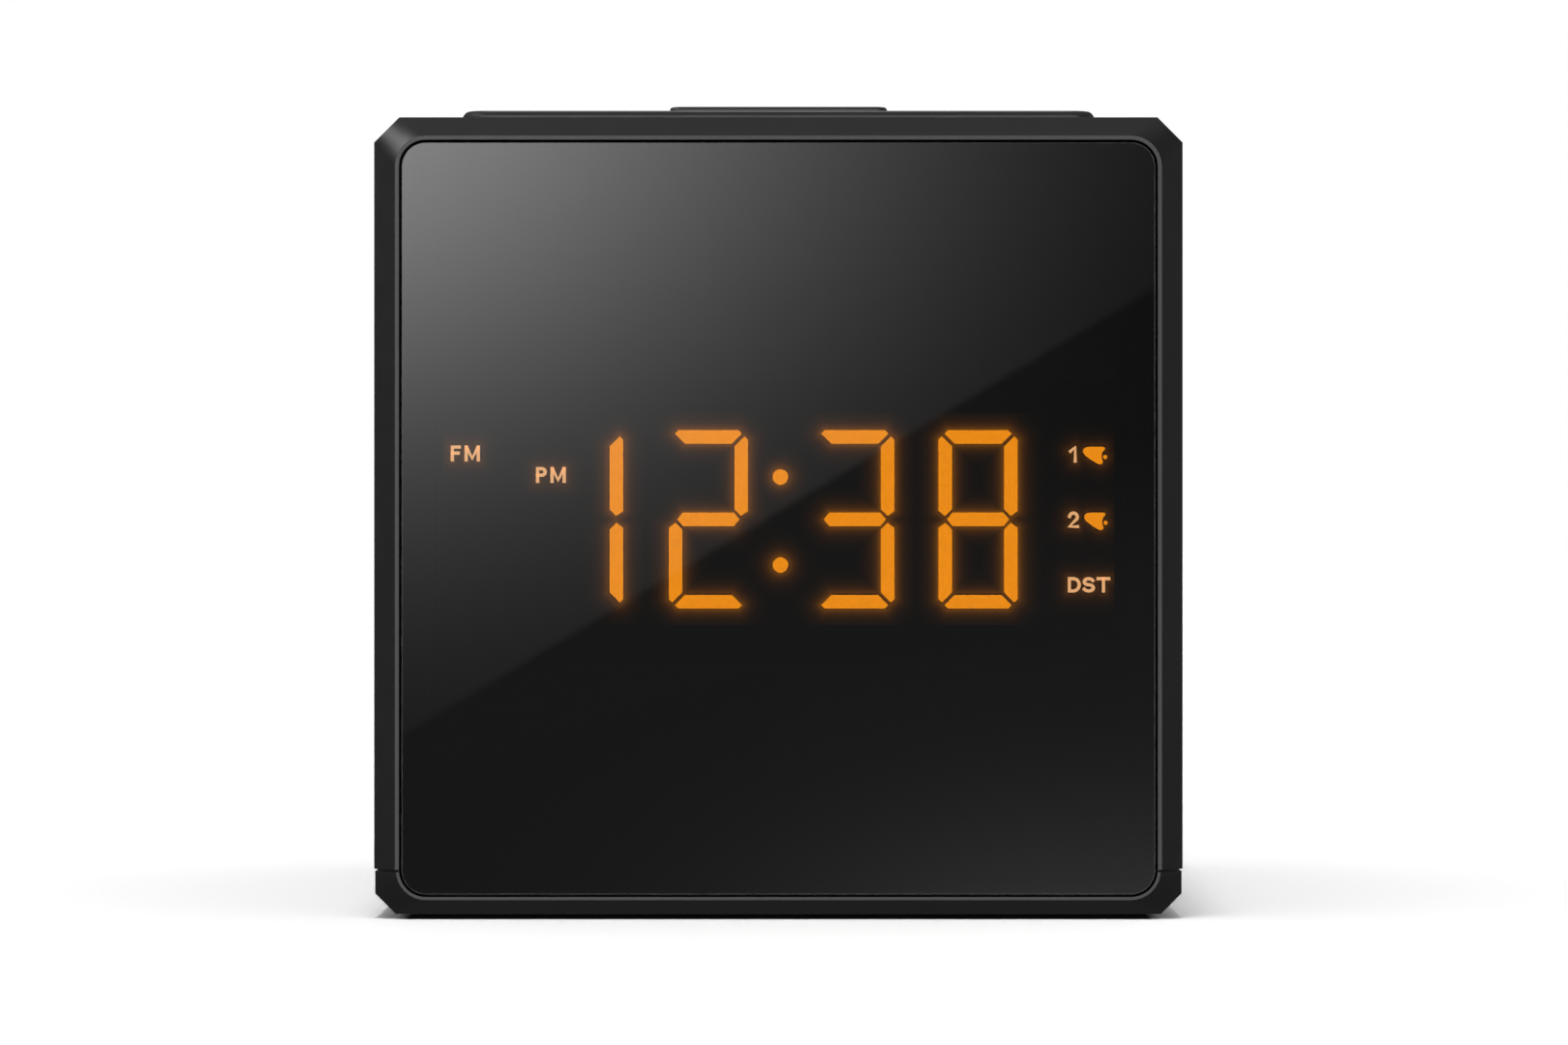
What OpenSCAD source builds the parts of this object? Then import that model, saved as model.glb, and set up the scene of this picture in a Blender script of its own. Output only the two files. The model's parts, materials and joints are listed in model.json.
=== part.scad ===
// Cube-shaped tabletop clock radio: a black cabinet with a smoked window and an amber clock
// display, a raised control panel with nine keys, two side dials, a loudspeaker that fires to
// the rear, a band switch and a drawer for the backup cell.
// It faces -Y and stands on Z = 0. X = 0 and Y = 0 are the middle of its footprint.

/* [Case] */
// Width of the case
body_w = 101; // [100:0.5:103]
// Depth of the case, from the front lip to the rear edge
body_d = 106; // [105:0.5:110]
// Height of the case's top face above the table
body_h = 100.1; // [99.5:0.1:103]
// Wall thickness of the case
wall = 2.2; // [1.8:0.1:2.4]
// Size of the chamfers along the two upper long edges
top_chamfer = 3.15; // [2.6:0.05:4]
// Size of the chamfers along the two lower long edges
bottom_chamfer = 2.65; // [2.4:0.05:3.5]
// Height of the seam between the cabinet and the base cover
seam_z = 6.2; // [5.8:0.1:7]
// How far the rubber feet stand out of the base
foot_h = 0.4; // [0.3:0.1:0.6]

/* [Window] */
// Width of the sloping rim at each side of the window
rim_side = 2.75; // [2.4:0.05:3.2]
// Width of the sloping rim above the window
rim_top = 2.45; // [2:0.05:3]
// Width of the sloping rim below the window
rim_bottom = 1.9; // [1.6:0.05:2.4]
// How far the rim slopes back from the front lip
rim_depth = 2.2; // [1.5:0.1:3]
// Width of the flat lip around the window
lip = 0.5; // [0.3:0.05:0.8]
// Corner radius of the window
lens_r = 3.15; // [2:0.05:4]

/* [Display] */
// Height of a clock digit
digit_h = 22.3; // [20:0.1:23]
// Width of a clock digit
digit_w = 9.9; // [9:0.1:10.4]
// Thickness of a digit's segments
seg_t = 1.7; // [1.4:0.05:1.9]

/* [Controls] */
// Width of the raised control panel
panel_w = 80; // [79:0.5:82]
// Height of the control panel above the case
panel_h = 1.4; // [1.2:0.1:1.8]
// Width of the snooze bar
snooze_w = 27.6; // [26:0.1:28]
// Height of the snooze bar above the control panel
snooze_rise = 0.8; // [0.6:0.1:1.2]
// Radius of the two side dials
dial_r = 13; // [12.8:0.1:13.4]

/* [Hidden] */

$fn = 32;
BIG = 200;

// Colours
BLACK = [0.07, 0.07, 0.075];
SOFT_BLACK = [0.11, 0.11, 0.115];
SMOKE = [0.03, 0.03, 0.035];
AMBER = [0.93, 0.57, 0.14];
DARK_AMBER = [0.2, 0.13, 0.06];
BOARD_GREEN = [0.1, 0.32, 0.16];
STEEL = [0.68, 0.69, 0.7];
COPPER = [0.7, 0.4, 0.2];
WHITE = [0.9, 0.9, 0.86];
RUBBER = [0.05, 0.05, 0.05];

// Case
half_w = body_w / 2;
front_y = -body_d / 2;
rear_y = body_d / 2;
inner_x = half_w - wall;
floor_z = foot_h + wall;
ceiling_z = body_h - wall;
// A chamfer that is offset inwards loses this share of the offset at each leg
chamfer_shrink = 2 - sqrt(2);
base_inset = 0.12;
seam_reveal = 0.3;
seam_depth = 0.45;

// Window, lens and front wall
lens_gap = 0.2;
lens_x = half_w - rim_side - lip - lens_gap;
lens_z0 = foot_h + rim_bottom + lip + lens_gap;
lens_z1 = body_h - rim_top - lip - lens_gap;
lens_y0 = front_y + 0.3;
lens_y1 = lens_y0 + 2.3;
tape_t = 0.2;
seat_y = lens_y1 + tape_t;
front_wall_y = seat_y + 2;
lip_t = 0.2;

// Rear cover
cover_gap = 0.15;
cover_y1 = rear_y - 0.4;
cover_y0 = cover_y1 - 2;

// Display module: a housing with resin-filled windows, in front of a board of chips
digit_x = [-29.3, -13.7, 4.6, 20];
digit_z = 49.85 - digit_h / 2;
// Which of segments a to g is lit, for each digit of 12:38
DIGIT_LIT = [[1, 2], [0, 1, 3, 4, 6], [0, 1, 2, 3, 6], [0, 1, 2, 3, 4, 5, 6]];
seg_cut = 0.43;
seg_gap = 0.32;
seg_mid = 0.41;
colon_x = 0.25;
colon_z = [55.15, 44.15];
colon_r = 0.97;
housing_x = 41.8;
housing_z = [35.8, 63.8];
housing_gap = 0.2;
housing_y = [seat_y + 0.5, seat_y + 8.5];
chip_h = 0.6;
resin_y = housing_y[1] - 1;
// Legend windows: middle in X and Z, width and height
LEGENDS = [
    [-39.05, 58.05, 4.1, 2.3], [-28.4, 55.4, 4.2, 2.3], [38.6, 58, 5.1, 2.4],
    [38.6, 49.8, 5.1, 2.4], [38.65, 41.6, 5.5, 2.2]
];
pcb_t = 1.6;
display_board_x = 47;
display_board_z = [35, 65];
display_post_x = 45;
display_post_z = [37.6, 62.4];

// Control panel, keys and their board
panel_y = [front_y + 9, front_y + 93];
panel_z = body_h + panel_h;
panel_r = 3;
panel_edge = 0.6;
opening_inset = 2.5;
skirt_t = 1;
key_gap = 0.25;
key_r = 1.4;
flange_w = 0.8;
flange_z = [body_h - 1.4, body_h - 0.35];
key_top_z = panel_z - 0.1;
snooze_top_z = panel_z + snooze_rise;
// Keys: middle in X and Y, width and depth
SNOOZE = [0, -28, snooze_w, 24];
ALARM_1 = [-24.5, -33.5, 17, 9];
ALARM_2 = [24.5, -33.5, 17, 9];
RADIO = [-24.5, -20.5, 17, 9];
OFF = [24.5, -20.5, 17, 9];
SLEEP = [0, -6, 18, 8];
TIME_MINUS = [-22, 18, 14, 8];
CLOCK = [0, 18, 14, 8];
TIME_PLUS = [22, 18, 14, 8];
KEYS = [SNOOZE, ALARM_1, ALARM_2, RADIO, OFF, SLEEP, TIME_MINUS, CLOCK, TIME_PLUS];
snooze_switch_x = 9;
SWITCHES = concat(
    [for (s = [-1, 1]) [s * snooze_switch_x, SNOOZE[1]]],
    [for (i = [1:len(KEYS) - 1]) [KEYS[i][0], KEYS[i][1]]]
);
key_board_z = 90.4;
key_board_top = key_board_z + pcb_t;
key_board_x = 42.5;
key_board_y = [-43, 34];
key_posts = [[-40, -38], [40, -38], [-40, 30], [40, 30]];
switch_w = 6;
switch_h = 3.5;
plunger_r = 1.7;
plunger_z = key_board_top + 3;
stem_r = 2.5;
stem_z = key_board_top + 4.6;

// Main board and what stands on it
board_z = 16;
board_top = board_z + pcb_t;
board_bosses = [[-41, 2], [41, -32], [41, 35], [-4.5, 35]];
header_h = 3;
header_top = board_top + header_h;
lead_end_z = header_top + 0.05;
rod_y_pos = -20;
rod_z_pos = 25;
rod_r = 4;

// Side dials and what they turn
dial_proud = 1.2;
dial_x = half_w + dial_proud - dial_r;
dial_y = 14;
dial_z = [28, 32.5];
dial_slot_gap = 0.4;
dial_slot_half = 9.7;
knurls = 60;
knurl_r = 0.28;
shaft_r = 3;
shaft_gap = 0.05;
shaft_z = 20;
control_top = 25;

// Transformer
core_x = [-42, -7];
core_y = [-30, -15];
core_z = [4, 33];
leg_w = 5.8;
strap_t = 0.8;
ear_x = [-44.6, -4.4];
ear_y = (core_y[0] + core_y[1]) / 2;

// Speaker, which fires towards +Y
speaker_z = 58;
grille_r = 26.9;
grille_seat_r = 27;
grille_open_r = 25;
grille_hole_r = 1;
grille_pitch = 3;
grille_y = [cover_y1 - 1, cover_y1 - 0.2];
cloth_t = 0.4;
flange_face = cover_y0 - cloth_t;
roll_r = [20.5, 24.6];
roll_y = 48.6;
roll_t = 0.4;
coil_r = [5.9, 6.4];
cone_neck_r = coil_r[1] + 0.05;
cone_neck_y = 37.4;
spider_y = 34.7;
spider_r = [coil_r[1], 16.6];
spider_t = 0.4;
spider_ripple = 0.35;
// The basket's floor behind the spider, and the ledge that the spider sits on
basket_floor = 33.9;
basket_back = 33;
ledge_r = 15.4;
terminal_x = 6;

// Backup cell drawer, in the rear cover
tray_x = [-36, -10];
tray_y0 = 24;
tray_z = [8.5, 13.3];
tray_gap = 0.4;
plate_x0 = -42.5;
plate_z = [7.9, 13.9];
plate_y = [cover_y1 - 1.4, cover_y1];
cell_r = 10;
cell_h = 3.2;
cell_at = [(tray_x[0] + tray_x[1]) / 2, 37.5];
tray_screw_at = [-39.4, (plate_z[0] + plate_z[1]) / 2];

// Fasteners
case_posts = [[-44, -42], [44, -42], [-44, 44], [44, 44]];
rear_posts = [[-43, 30], [43, 30], [-43, 91], [43, 91]];
screw_r = 1.3;
pilot_r = 1.35;
head_r = 2.5;
head_h = 1.5;
board_head_r = 2.3;
feet_at = [[-35, -38], [35, -38], [-35, 38], [35, 38]];
foot_r = 5;
foot_t = 1.6;

// Cord gland and band switch, in the rear cover
gland_at = [32, 15];
gland_r = 4.6;
gland_flange_r = 6.4;
gland_bore_r = 3.1;
band_at = [10, 19.5];
band_knob = [4, 3.4];
band_travel = 3;

// ---------------------------------------------------------------- helpers

// A box between two opposite corners
module block(a, b) {
    translate(a) cube(b - a);
}

// A plate from y0 to y1 whose outline is drawn in X and Z
module slab(y0, y1) {
    translate([0, y1, 0]) rotate([90, 0, 0]) linear_extrude(y1 - y0) children();
}

// A cylinder along Y
module rod_y(at, r, y0, y1) {
    translate([at[0], y0, at[1]]) rotate([-90, 0, 0]) cylinder(r = r, h = y1 - y0);
}

// A cylinder along Z
module rod_z(at, r, z0, z1) {
    translate([at[0], at[1], z0]) cylinder(r = r, h = z1 - z0);
}

// A rectangle with round corners, between two opposite corners
module round_rect(a, b, r) {
    translate([a[0] + r, a[1]]) square([b[0] - a[0] - 2 * r, b[1] - a[1]]);
    translate([a[0], a[1] + r]) square([b[0] - a[0], b[1] - a[1] - 2 * r]);
    for (x = [a[0] + r, b[0] - r], y = [a[1] + r, b[1] - r]) translate([x, y]) circle(r);
}

// A plate from z0 to z1 with round corners, around a middle, of a width and a depth
module round_plate(at, size, r, z0, z1) {
    translate([0, 0, z0])
        linear_extrude(z1 - z0)
            round_rect([at[0] - size[0] / 2, at[1] - size[1] / 2],
                       [at[0] + size[0] / 2, at[1] + size[1] / 2], r);
}

// The case's outline, seen from the front: a square with four chamfered corners
module case_outline(inset = 0) {
    x = half_w - inset;
    z0 = foot_h + inset;
    z1 = body_h - inset;
    upper = top_chamfer - inset * chamfer_shrink;
    lower = bottom_chamfer - inset * chamfer_shrink;
    polygon([
        [-x + lower, z0], [x - lower, z0], [x, z0 + lower], [x, z1 - upper],
        [x - upper, z1], [-x + upper, z1], [-x, z1 - upper], [-x, z0 + lower]
    ]);
}

// The window's outline, grown by a margin
module window_outline(grow = 0) {
    round_rect([-lens_x - grow, lens_z0 - grow], [lens_x + grow, lens_z1 + grow], lens_r + grow);
}

// The case as a solid: a long block with a sloping rim that ends in the lip
module case_solid(inset = 0) {
    slab(front_y + rim_depth + inset, rear_y - inset) case_outline(inset);
    hull() {
        slab(front_y + rim_depth + inset, front_y + rim_depth + inset + 0.3)
            case_outline(inset);
        slab(front_y + inset, front_y + lip_t + inset)
            window_outline(lens_gap + lip - inset);
    }
}

// The recess for the lens in the front of the case
module lens_recess() {
    slab(front_y - 1, seat_y) window_outline(lens_gap);
}

// A screw that points along +Z, with a cross recess in its head
module screw(r_head, h_head, length) {
    difference() {
        union() {
            cylinder(r = r_head, h = h_head);
            cylinder(r = screw_r, h = length);
        }
        for (a = [0, 90]) {
            rotate(a) translate([-1.3, -0.3, -1]) cube([2.6, 0.6, 1.8]);
        }
    }
}

// ---------------------------------------------------------------- case

// A screw post that stands up from the seam, with a web to the side wall
module case_post(at) {
    rod_z(at, 3.5, seam_z, 22);
    side = sign(at[0]);
    block([min(at[0], side * (inner_x + 1)), at[1] - 1, seam_z],
          [max(at[0], side * (inner_x + 1)), at[1] + 1, 22]);
}

// A screw post that points to the rear, with a web to the side wall
module rear_post(at) {
    rod_y(at, 3.3, cover_y0 - 14, cover_y0);
    side = sign(at[0]);
    block([min(at[0], side * (inner_x + 1)), cover_y0 - 14, at[1] - 1],
          [max(at[0], side * (inner_x + 1)), cover_y0, at[1] + 1]);
}

module cabinet() color(BLACK) {
    difference() {
        union() {
            difference() {
                intersection() {
                    case_solid();
                    block([-BIG, -BIG, seam_z], [BIG, BIG, BIG]);
                }
                lens_recess();
                slab(front_wall_y, BIG) case_outline(wall);
            }
            for (at = case_posts) case_post(at);
            for (at = rear_posts) rear_post(at);
            for (at = key_posts) rod_z(at, 2.5, key_board_top, ceiling_z + 1);
            for (s = [-1, 1], z = display_post_z) {
                rod_y([s * display_post_x, z], 2.3, front_wall_y - 1, housing_y[1]);
            }
        }
        slab(seat_y - 1, front_wall_y + 1) display_opening();
        panel_opening();
        for (s = [-1, 1]) dial_slot(s);
        for (at = case_posts) rod_z(at, pilot_r, seam_z - 1, 17);
        for (at = rear_posts) rod_y(at, pilot_r, cover_y0 - 10, cover_y0 + 1);
        for (at = key_posts) rod_z(at, pilot_r, key_board_top - 1, key_board_top + 5);
        for (s = [-1, 1], z = display_post_z) {
            rod_y([s * display_post_x, z], pilot_r, housing_y[1] - 5, housing_y[1] + 1);
        }
    }
}

// The hole in the front wall for the display housing
module display_opening() {
    height = housing_z[1] - housing_z[0];
    translate([-housing_x - housing_gap, housing_z[0] - housing_gap])
        square([2 * (housing_x + housing_gap), height + 2 * housing_gap]);
}

// The hole in the cabinet's top under the control panel
module panel_opening() {
    depth = panel_y[1] - panel_y[0];
    round_plate([0, (panel_y[0] + panel_y[1]) / 2],
                [panel_w - 2 * opening_inset, depth - 2 * opening_inset + 1.6],
                2, ceiling_z - 1, body_h + 1);
}

// The slot in a side wall that a dial stands out of
module dial_slot(side) {
    block([min(side * (inner_x - 1), side * (half_w + 1)), dial_y - dial_slot_half,
           dial_z[0] - dial_slot_gap],
          [max(side * (inner_x - 1), side * (half_w + 1)), dial_y + dial_slot_half,
           dial_z[1] + dial_slot_gap]);
}

// The base cover's outer shape, narrower just under the seam so that the seam shows
module base_solid() {
    intersection() {
        case_solid(base_inset);
        block([-BIG, -BIG, -1], [BIG, BIG, seam_z - seam_reveal]);
    }
    intersection() {
        case_solid(seam_depth);
        block([-BIG, -BIG, seam_z - seam_reveal - 1], [BIG, BIG, seam_z]);
    }
}

module base_cover() color(BLACK) {
    vent_x = [-38:5:-8];
    difference() {
        union() {
            difference() {
                base_solid();
                lens_recess();
                slab(front_wall_y, rear_y - wall) case_outline(wall);
            }
            for (at = case_posts) rod_z(at, 3.5, floor_z - 0.5, seam_z);
            for (at = board_bosses) rod_z(at, 3, floor_z - 0.5, board_z);
            rod_z([0.5, -32], 3, floor_z - 0.5, board_z);
            for (x = ear_x) rod_z([x, ear_y], 2.6, floor_z - 0.5, core_z[0]);
            tray_guide();
        }
        for (at = case_posts) {
            rod_z(at, 1.5, -1, seam_z + 1);
            rod_z(at, 2.9, -1, 3);
        }
        for (at = board_bosses) rod_z(at, pilot_r, board_z - 8, board_z + 1);
        for (x = ear_x) rod_z([x, ear_y], pilot_r, 1.4, core_z[0] + 1);
        for (at = feet_at) rod_z(at, foot_r + 0.1, -1, foot_t);
        for (x = vent_x) {
            round_plate([x, -22], [2, 22], 0.99, -1, floor_z + 1);
            round_plate([-x, -22], [2, 22], 0.99, -1, floor_z + 1);
        }
    }
}

// The shelf and the side rails that the battery drawer slides on
module tray_guide() {
    x0 = tray_x[0] - tray_gap;
    x1 = tray_x[1] + tray_gap;
    for (x = [x0 - 1, x1]) block([x, 23, floor_z - 0.5], [x + 1, 48, tray_z[1] + 0.2]);
    block([x0, 23, tray_z[0] - 1.2], [x1, 48, tray_z[0] - 0.2]);
}

module rear_cover() color(BLACK) {
    difference() {
        union() {
            intersection() {
                slab(cover_y0, cover_y1) case_outline(wall + cover_gap);
                block([-BIG, -BIG, seam_z + cover_gap], [BIG, BIG, BIG]);
            }
            block([-43.6, cover_y0 - 2.2, 6.6], [-8.6, cover_y0 + 0.5, 15.4]);
            rod_y([gland_at[0], gland_at[1]], 7, cover_y0 - 2, cover_y0 + 0.5);
        }
        rod_y([0, speaker_z], grille_open_r, -BIG, BIG);
        rod_y([0, speaker_z], grille_seat_r, grille_y[0], BIG);
        for (at = rear_posts) {
            rod_y(at, 1.5, -BIG, BIG);
            rod_y(at, head_r + 0.3, cover_y1 - 1, BIG);
        }
        block([tray_x[0] - tray_gap, 0, tray_z[0] - tray_gap],
              [tray_x[1] + tray_gap, BIG, tray_z[1] + tray_gap]);
        block([plate_x0 - 0.3, plate_y[0] - 0.1, plate_z[0] - 0.3],
              [tray_x[1] + tray_gap, BIG, plate_z[1] + 0.3]);
        rod_y(tray_screw_at, 1.2, 0, BIG);
        rod_y(gland_at, gland_r, 0, BIG);
        block([band_at[0] - band_travel / 2 - band_knob[0] / 2 - 0.4, 0,
               band_at[1] - band_knob[1] / 2 - 0.3],
              [band_at[0] + band_travel / 2 + band_knob[0] / 2 + 0.4, BIG,
               band_at[1] + band_knob[1] / 2 + 0.3]);
    }
}

module top_panel() color(SOFT_BLACK) {
    mid = [0, (panel_y[0] + panel_y[1]) / 2];
    size = [panel_w, panel_y[1] - panel_y[0]];
    skirt = [size[0] - 2 * opening_inset - 0.4, size[1] - 2 * opening_inset + 1.2];
    difference() {
        union() {
            hull() {
                round_plate(mid, size, panel_r, body_h, panel_z - panel_edge);
                round_plate(mid, size - [0.5, 0.5], panel_r, body_h, panel_z - 0.2);
                round_plate(mid, size - 2 * [panel_edge, panel_edge], panel_r - panel_edge,
                            body_h, panel_z);
            }
            difference() {
                round_plate(mid, skirt, 1.8, ceiling_z, body_h + 0.5);
                round_plate(mid, skirt - 2 * [skirt_t, skirt_t], 0.8, -1, body_h);
            }
        }
        for (key = KEYS) {
            round_plate(key, [key[2] + 2 * key_gap, key[3] + 2 * key_gap],
                        key_r + key_gap, -1, BIG);
        }
    }
}

module front_lens() color(SMOKE) {
    slab(lens_y0, lens_y1) window_outline();
}

module lens_tape() color(WHITE) {
    difference() {
        slab(lens_y1, seat_y) window_outline(-0.6);
        slab(lens_y1 - 1, seat_y + 1)
            round_rect([-43, 32], [43, 67], 1);
    }
}

module rubber_feet() color(RUBBER) {
    for (at = feet_at) rod_z(at, foot_r, 0, foot_t);
}

module case_screws() color(STEEL) {
    for (at = case_posts) translate([at[0], at[1], 3 - head_h]) screw(head_r, head_h, 13);
    for (at = rear_posts) {
        translate([at[0], cover_y1 - 1 + head_h - 0.6, at[1]])
            rotate([90, 0, 0])
                screw(head_r, head_h - 0.6, 9.5);
    }
}

// ---------------------------------------------------------------- display

// The outline of segment 0 to 6 (a to g) of a digit whose lower left corner is at the origin
function top_bar() = let (h = digit_h, w = digit_w, m = seg_cut + seg_gap) [
    [m + seg_cut, h], [w - m - seg_cut, h], [w - m, h - seg_cut],
    [w - seg_t - seg_gap, h - seg_t], [seg_t + seg_gap, h - seg_t], [m, h - seg_cut]
];
function left_bar() = let (h = digit_h, m = seg_cut + seg_gap, mid = digit_h / 2 + seg_mid) [
    [seg_cut, h - m], [seg_t, h - seg_t - seg_gap], [seg_t, mid + seg_t / 2],
    [seg_t / 2, mid], [0, mid + 0.75 * seg_t / 2], [0, h - m - seg_cut]
];
function middle_bar() = let (h = digit_h / 2, w = digit_w, t = seg_t / 2) [
    [t + 0.2, h], [2 * t + 0.05, h + t], [w - 2 * t - 0.05, h + t], [w - t - 0.2, h],
    [w - 2 * t - 0.05, h - t], [2 * t + 0.05, h - t]
];
function flip_x(points) = [for (p = points) [digit_w - p[0], p[1]]];
function flip_z(points) = [for (p = points) [p[0], digit_h - p[1]]];
function segment(i) = [
    top_bar(), flip_x(left_bar()), flip_x(flip_z(left_bar())), flip_z(top_bar()),
    flip_z(left_bar()), left_bar(), middle_bar()
][i];
function is_lit(digit, i) = len(search(i, DIGIT_LIT[digit])) > 0;
// The first digit can only be a 1, so it has no other segments
function is_dark(digit, i) = digit > 0 && !is_lit(digit, i);
// The middle of a segment, in the digit's own plane
function segment_mid(i) = let (p = segment(i)) [
    sum_of([for (q = p) q[0]]) / len(p), sum_of([for (q = p) q[1]]) / len(p)
];
function sum_of(v, i = 0) = i == len(v) ? 0 : v[i] + sum_of(v, i + 1);

// The segments that are lit, or those that aren't
module segments(lit, y0, y1) {
    for (digit = [0:3], i = [0:6]) {
        if (lit ? is_lit(digit, i) : is_dark(digit, i)) {
            slab(y0, y1) translate([digit_x[digit], digit_z]) polygon(segment(i));
        }
    }
}

module colon(y0, y1) {
    for (z = colon_z) rod_y([colon_x, z], colon_r, y0, y1);
}

module legends(y0, y1) {
    for (box = LEGENDS) {
        block([box[0] - box[2] / 2, y0, box[1] - box[3] / 2],
              [box[0] + box[2] / 2, y1, box[1] + box[3] / 2]);
    }
}

module display_housing() color(SMOKE) {
    difference() {
        block([-housing_x, housing_y[0], housing_z[0]], [housing_x, housing_y[1], housing_z[1]]);
        for (lit = [true, false]) segments(lit, housing_y[0] - 1, housing_y[1] + 1);
        colon(housing_y[0] - 1, housing_y[1] + 1);
        legends(housing_y[0] - 1, housing_y[1] + 1);
    }
}

module lit_segments() color(AMBER) {
    segments(true, housing_y[0], resin_y);
    colon(housing_y[0], resin_y);
}

module unlit_segments() color(DARK_AMBER) {
    segments(false, housing_y[0], resin_y);
}

module legend_windows() color(DARK_AMBER) {
    legends(housing_y[0], resin_y);
}

module display_board() color(BOARD_GREEN) {
    difference() {
        block([-display_board_x, housing_y[1], display_board_z[0]],
              [display_board_x, housing_y[1] + pcb_t, display_board_z[1]]);
        for (s = [-1, 1], z = display_post_z) {
            rod_y([s * display_post_x, z], 1.5, housing_y[1] - 1, housing_y[1] + pcb_t + 1);
        }
    }
}

// One light-emitting chip behind each window
module display_leds() color(WHITE) {
    places = concat(
        [for (digit = [0:3], i = [0:6])
            if (is_lit(digit, i) || is_dark(digit, i)) segment_mid(i) + [digit_x[digit], digit_z]],
        [for (z = colon_z) [colon_x, z]],
        [for (box = LEGENDS) [box[0], box[1]]]
    );
    for (p = places) {
        block([p[0] - 0.5, housing_y[1] - chip_h, p[1] - 0.4],
              [p[0] + 0.5, housing_y[1], p[1] + 0.4]);
    }
}

// A flat ribbon from the display board down to its header on the main board
module display_ribbon() color(STEEL) {
    back = housing_y[1] + pcb_t;
    end_y = -32.7;
    t = 0.6;
    translate([8.5, 0, 0]) rotate([90, 0, 90]) linear_extrude(15) polygon([
        [back, 42], [back + t, 42], [back + t, 31], [end_y, 23], [end_y, header_top],
        [end_y - t, header_top], [end_y - t, 22.6], [back, 30.6]
    ]);
}

// ---------------------------------------------------------------- main board

module main_board() color(BOARD_GREEN) {
    difference() {
        translate([0, 0, board_z]) linear_extrude(pcb_t) polygon([
            [-3, -36], [45, -36], [45, 39.5], [-45, 39.5], [-45, 0], [-3, 0]
        ]);
        for (at = board_bosses) rod_z(at, 1.5, 0, BIG);
    }
}

module tuner_shield() color(STEEL) {
    difference() {
        block([6, 3, board_top], [28, 20, board_top + 8]);
        block([6.4, 3.4, board_top - 1], [27.6, 19.6, board_top + 7.6]);
        for (x = [11, 17, 23]) rod_z([x, 11.5], 1.6, board_top, BIG);
    }
}

module board_chips() color(SMOKE) {
    // Middle in X and Y, width and depth of each chip
    for (chip = [[16, -6, 12, 7], [32, -8, 6, 5], [-22, 30, 10, 6], [22, 27, 7, 5]]) {
        block([chip[0] - chip[2] / 2, chip[1] - chip[3] / 2, board_top],
              [chip[0] + chip[2] / 2, chip[1] + chip[3] / 2, board_top + 1.6]);
    }
}

module capacitors() color([0.12, 0.14, 0.3]) {
    // Middle in X and Y, radius and height of each capacitor
    cans = [[-18, 8, 4, 14], [-7, 8, 4, 14], [-8, 21, 3, 9], [-20, 20, 3, 9], [38, -2.5, 2.5, 7]];
    for (can = cans) rod_z([can[0], can[1]], can[2], board_top, board_top + can[3]);
}

// Headers for the display ribbon, the key ribbon, the speaker leads and the transformer leads
module board_connectors() color(WHITE) {
    // Lowest and highest corner of each header, in X and Y
    headers = [
        [[8, -35], [24, -31]], [[28.5, 29.5], [37.5, 33]],
        [[2, 29.5], [10, 34.5]], [[-0.5, -13.5], [4.5, -6.5]]
    ];
    for (h = headers) block([h[0][0], h[0][1], board_top], [h[1][0], h[1][1], header_top]);
}

// A cylinder along X, in the ferrite aerial's axis
module rod_x(r, x0, x1) {
    translate([x0, rod_y_pos, rod_z_pos]) rotate([0, 90, 0]) cylinder(r = r, h = x1 - x0);
}

module ferrite_rod() color([0.2, 0.19, 0.19]) {
    rod_x(rod_r, -1.5, 44);
}

module ferrite_coil() color(COPPER) {
    difference() {
        union() {
            rod_x(rod_r + 0.6, 11, 31);
            for (x = [13:3:28]) rod_x(rod_r + 1.1, x, x + 2);
        }
        rod_x(rod_r, 0, 50);
    }
}

module rod_holders() color(WHITE) {
    for (x = [2, 37]) {
        difference() {
            block([x, rod_y_pos - 5.2, board_top], [x + 3, rod_y_pos + 5.2, rod_z_pos + 5.2]);
            rod_x(rod_r, 0, 50);
        }
    }
}

// A round lead swept along points that lie in one plane, given the plane's normal
module lead(points, normal, r) {
    sides = 8;
    last = len(points) - 1;
    rings = [for (i = [0:last])
        let (
            step = points[min(i + 1, last)] - points[max(i - 1, 0)],
            across = cross(step / norm(step), normal)
        )
        for (k = [0:sides - 1])
            points[i] + r * (cos(k * 360 / sides) * normal + sin(k * 360 / sides) * across)
    ];
    walls = [for (i = [0:last - 1], k = [0:sides - 1])
        let (n = (k + 1) % sides)
        [i * sides + k, i * sides + n, (i + 1) * sides + n, (i + 1) * sides + k]
    ];
    ends = [
        [for (k = [sides - 1:-1:0]) k],
        [for (k = [0:sides - 1]) last * sides + k]
    ];
    polyhedron(rings, concat(walls, ends), convexity = 4);
}

// Leads from the speaker and from the transformer to their headers
module internal_leads() color([0.6, 0.12, 0.1]) {
    for (s = [-1, 1]) {
        x = terminal_x + 1.6 * s;
        lead([
            [x, 39, 30], [x, 39, 28], [x, 38, 26], [x, 36, 24.6], [x, 34, 23.6],
            [x, 32.6, 22.4], [x, 32, 21.4], [x, 32, lead_end_z]
        ], [1, 0, 0], 0.6);
        y = -10 + 1.4 * s;
        lead([
            [-13.2, y, 22], [-11, y, 22], [-8, y, 22.6], [-5, y, 23.6], [-2, y, 24],
            [0.4, y, 23.4], [1.8, y, 22], [2, y, lead_end_z]
        ], [0, 1, 0], 0.6);
    }
}

// ---------------------------------------------------------------- transformer

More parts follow.
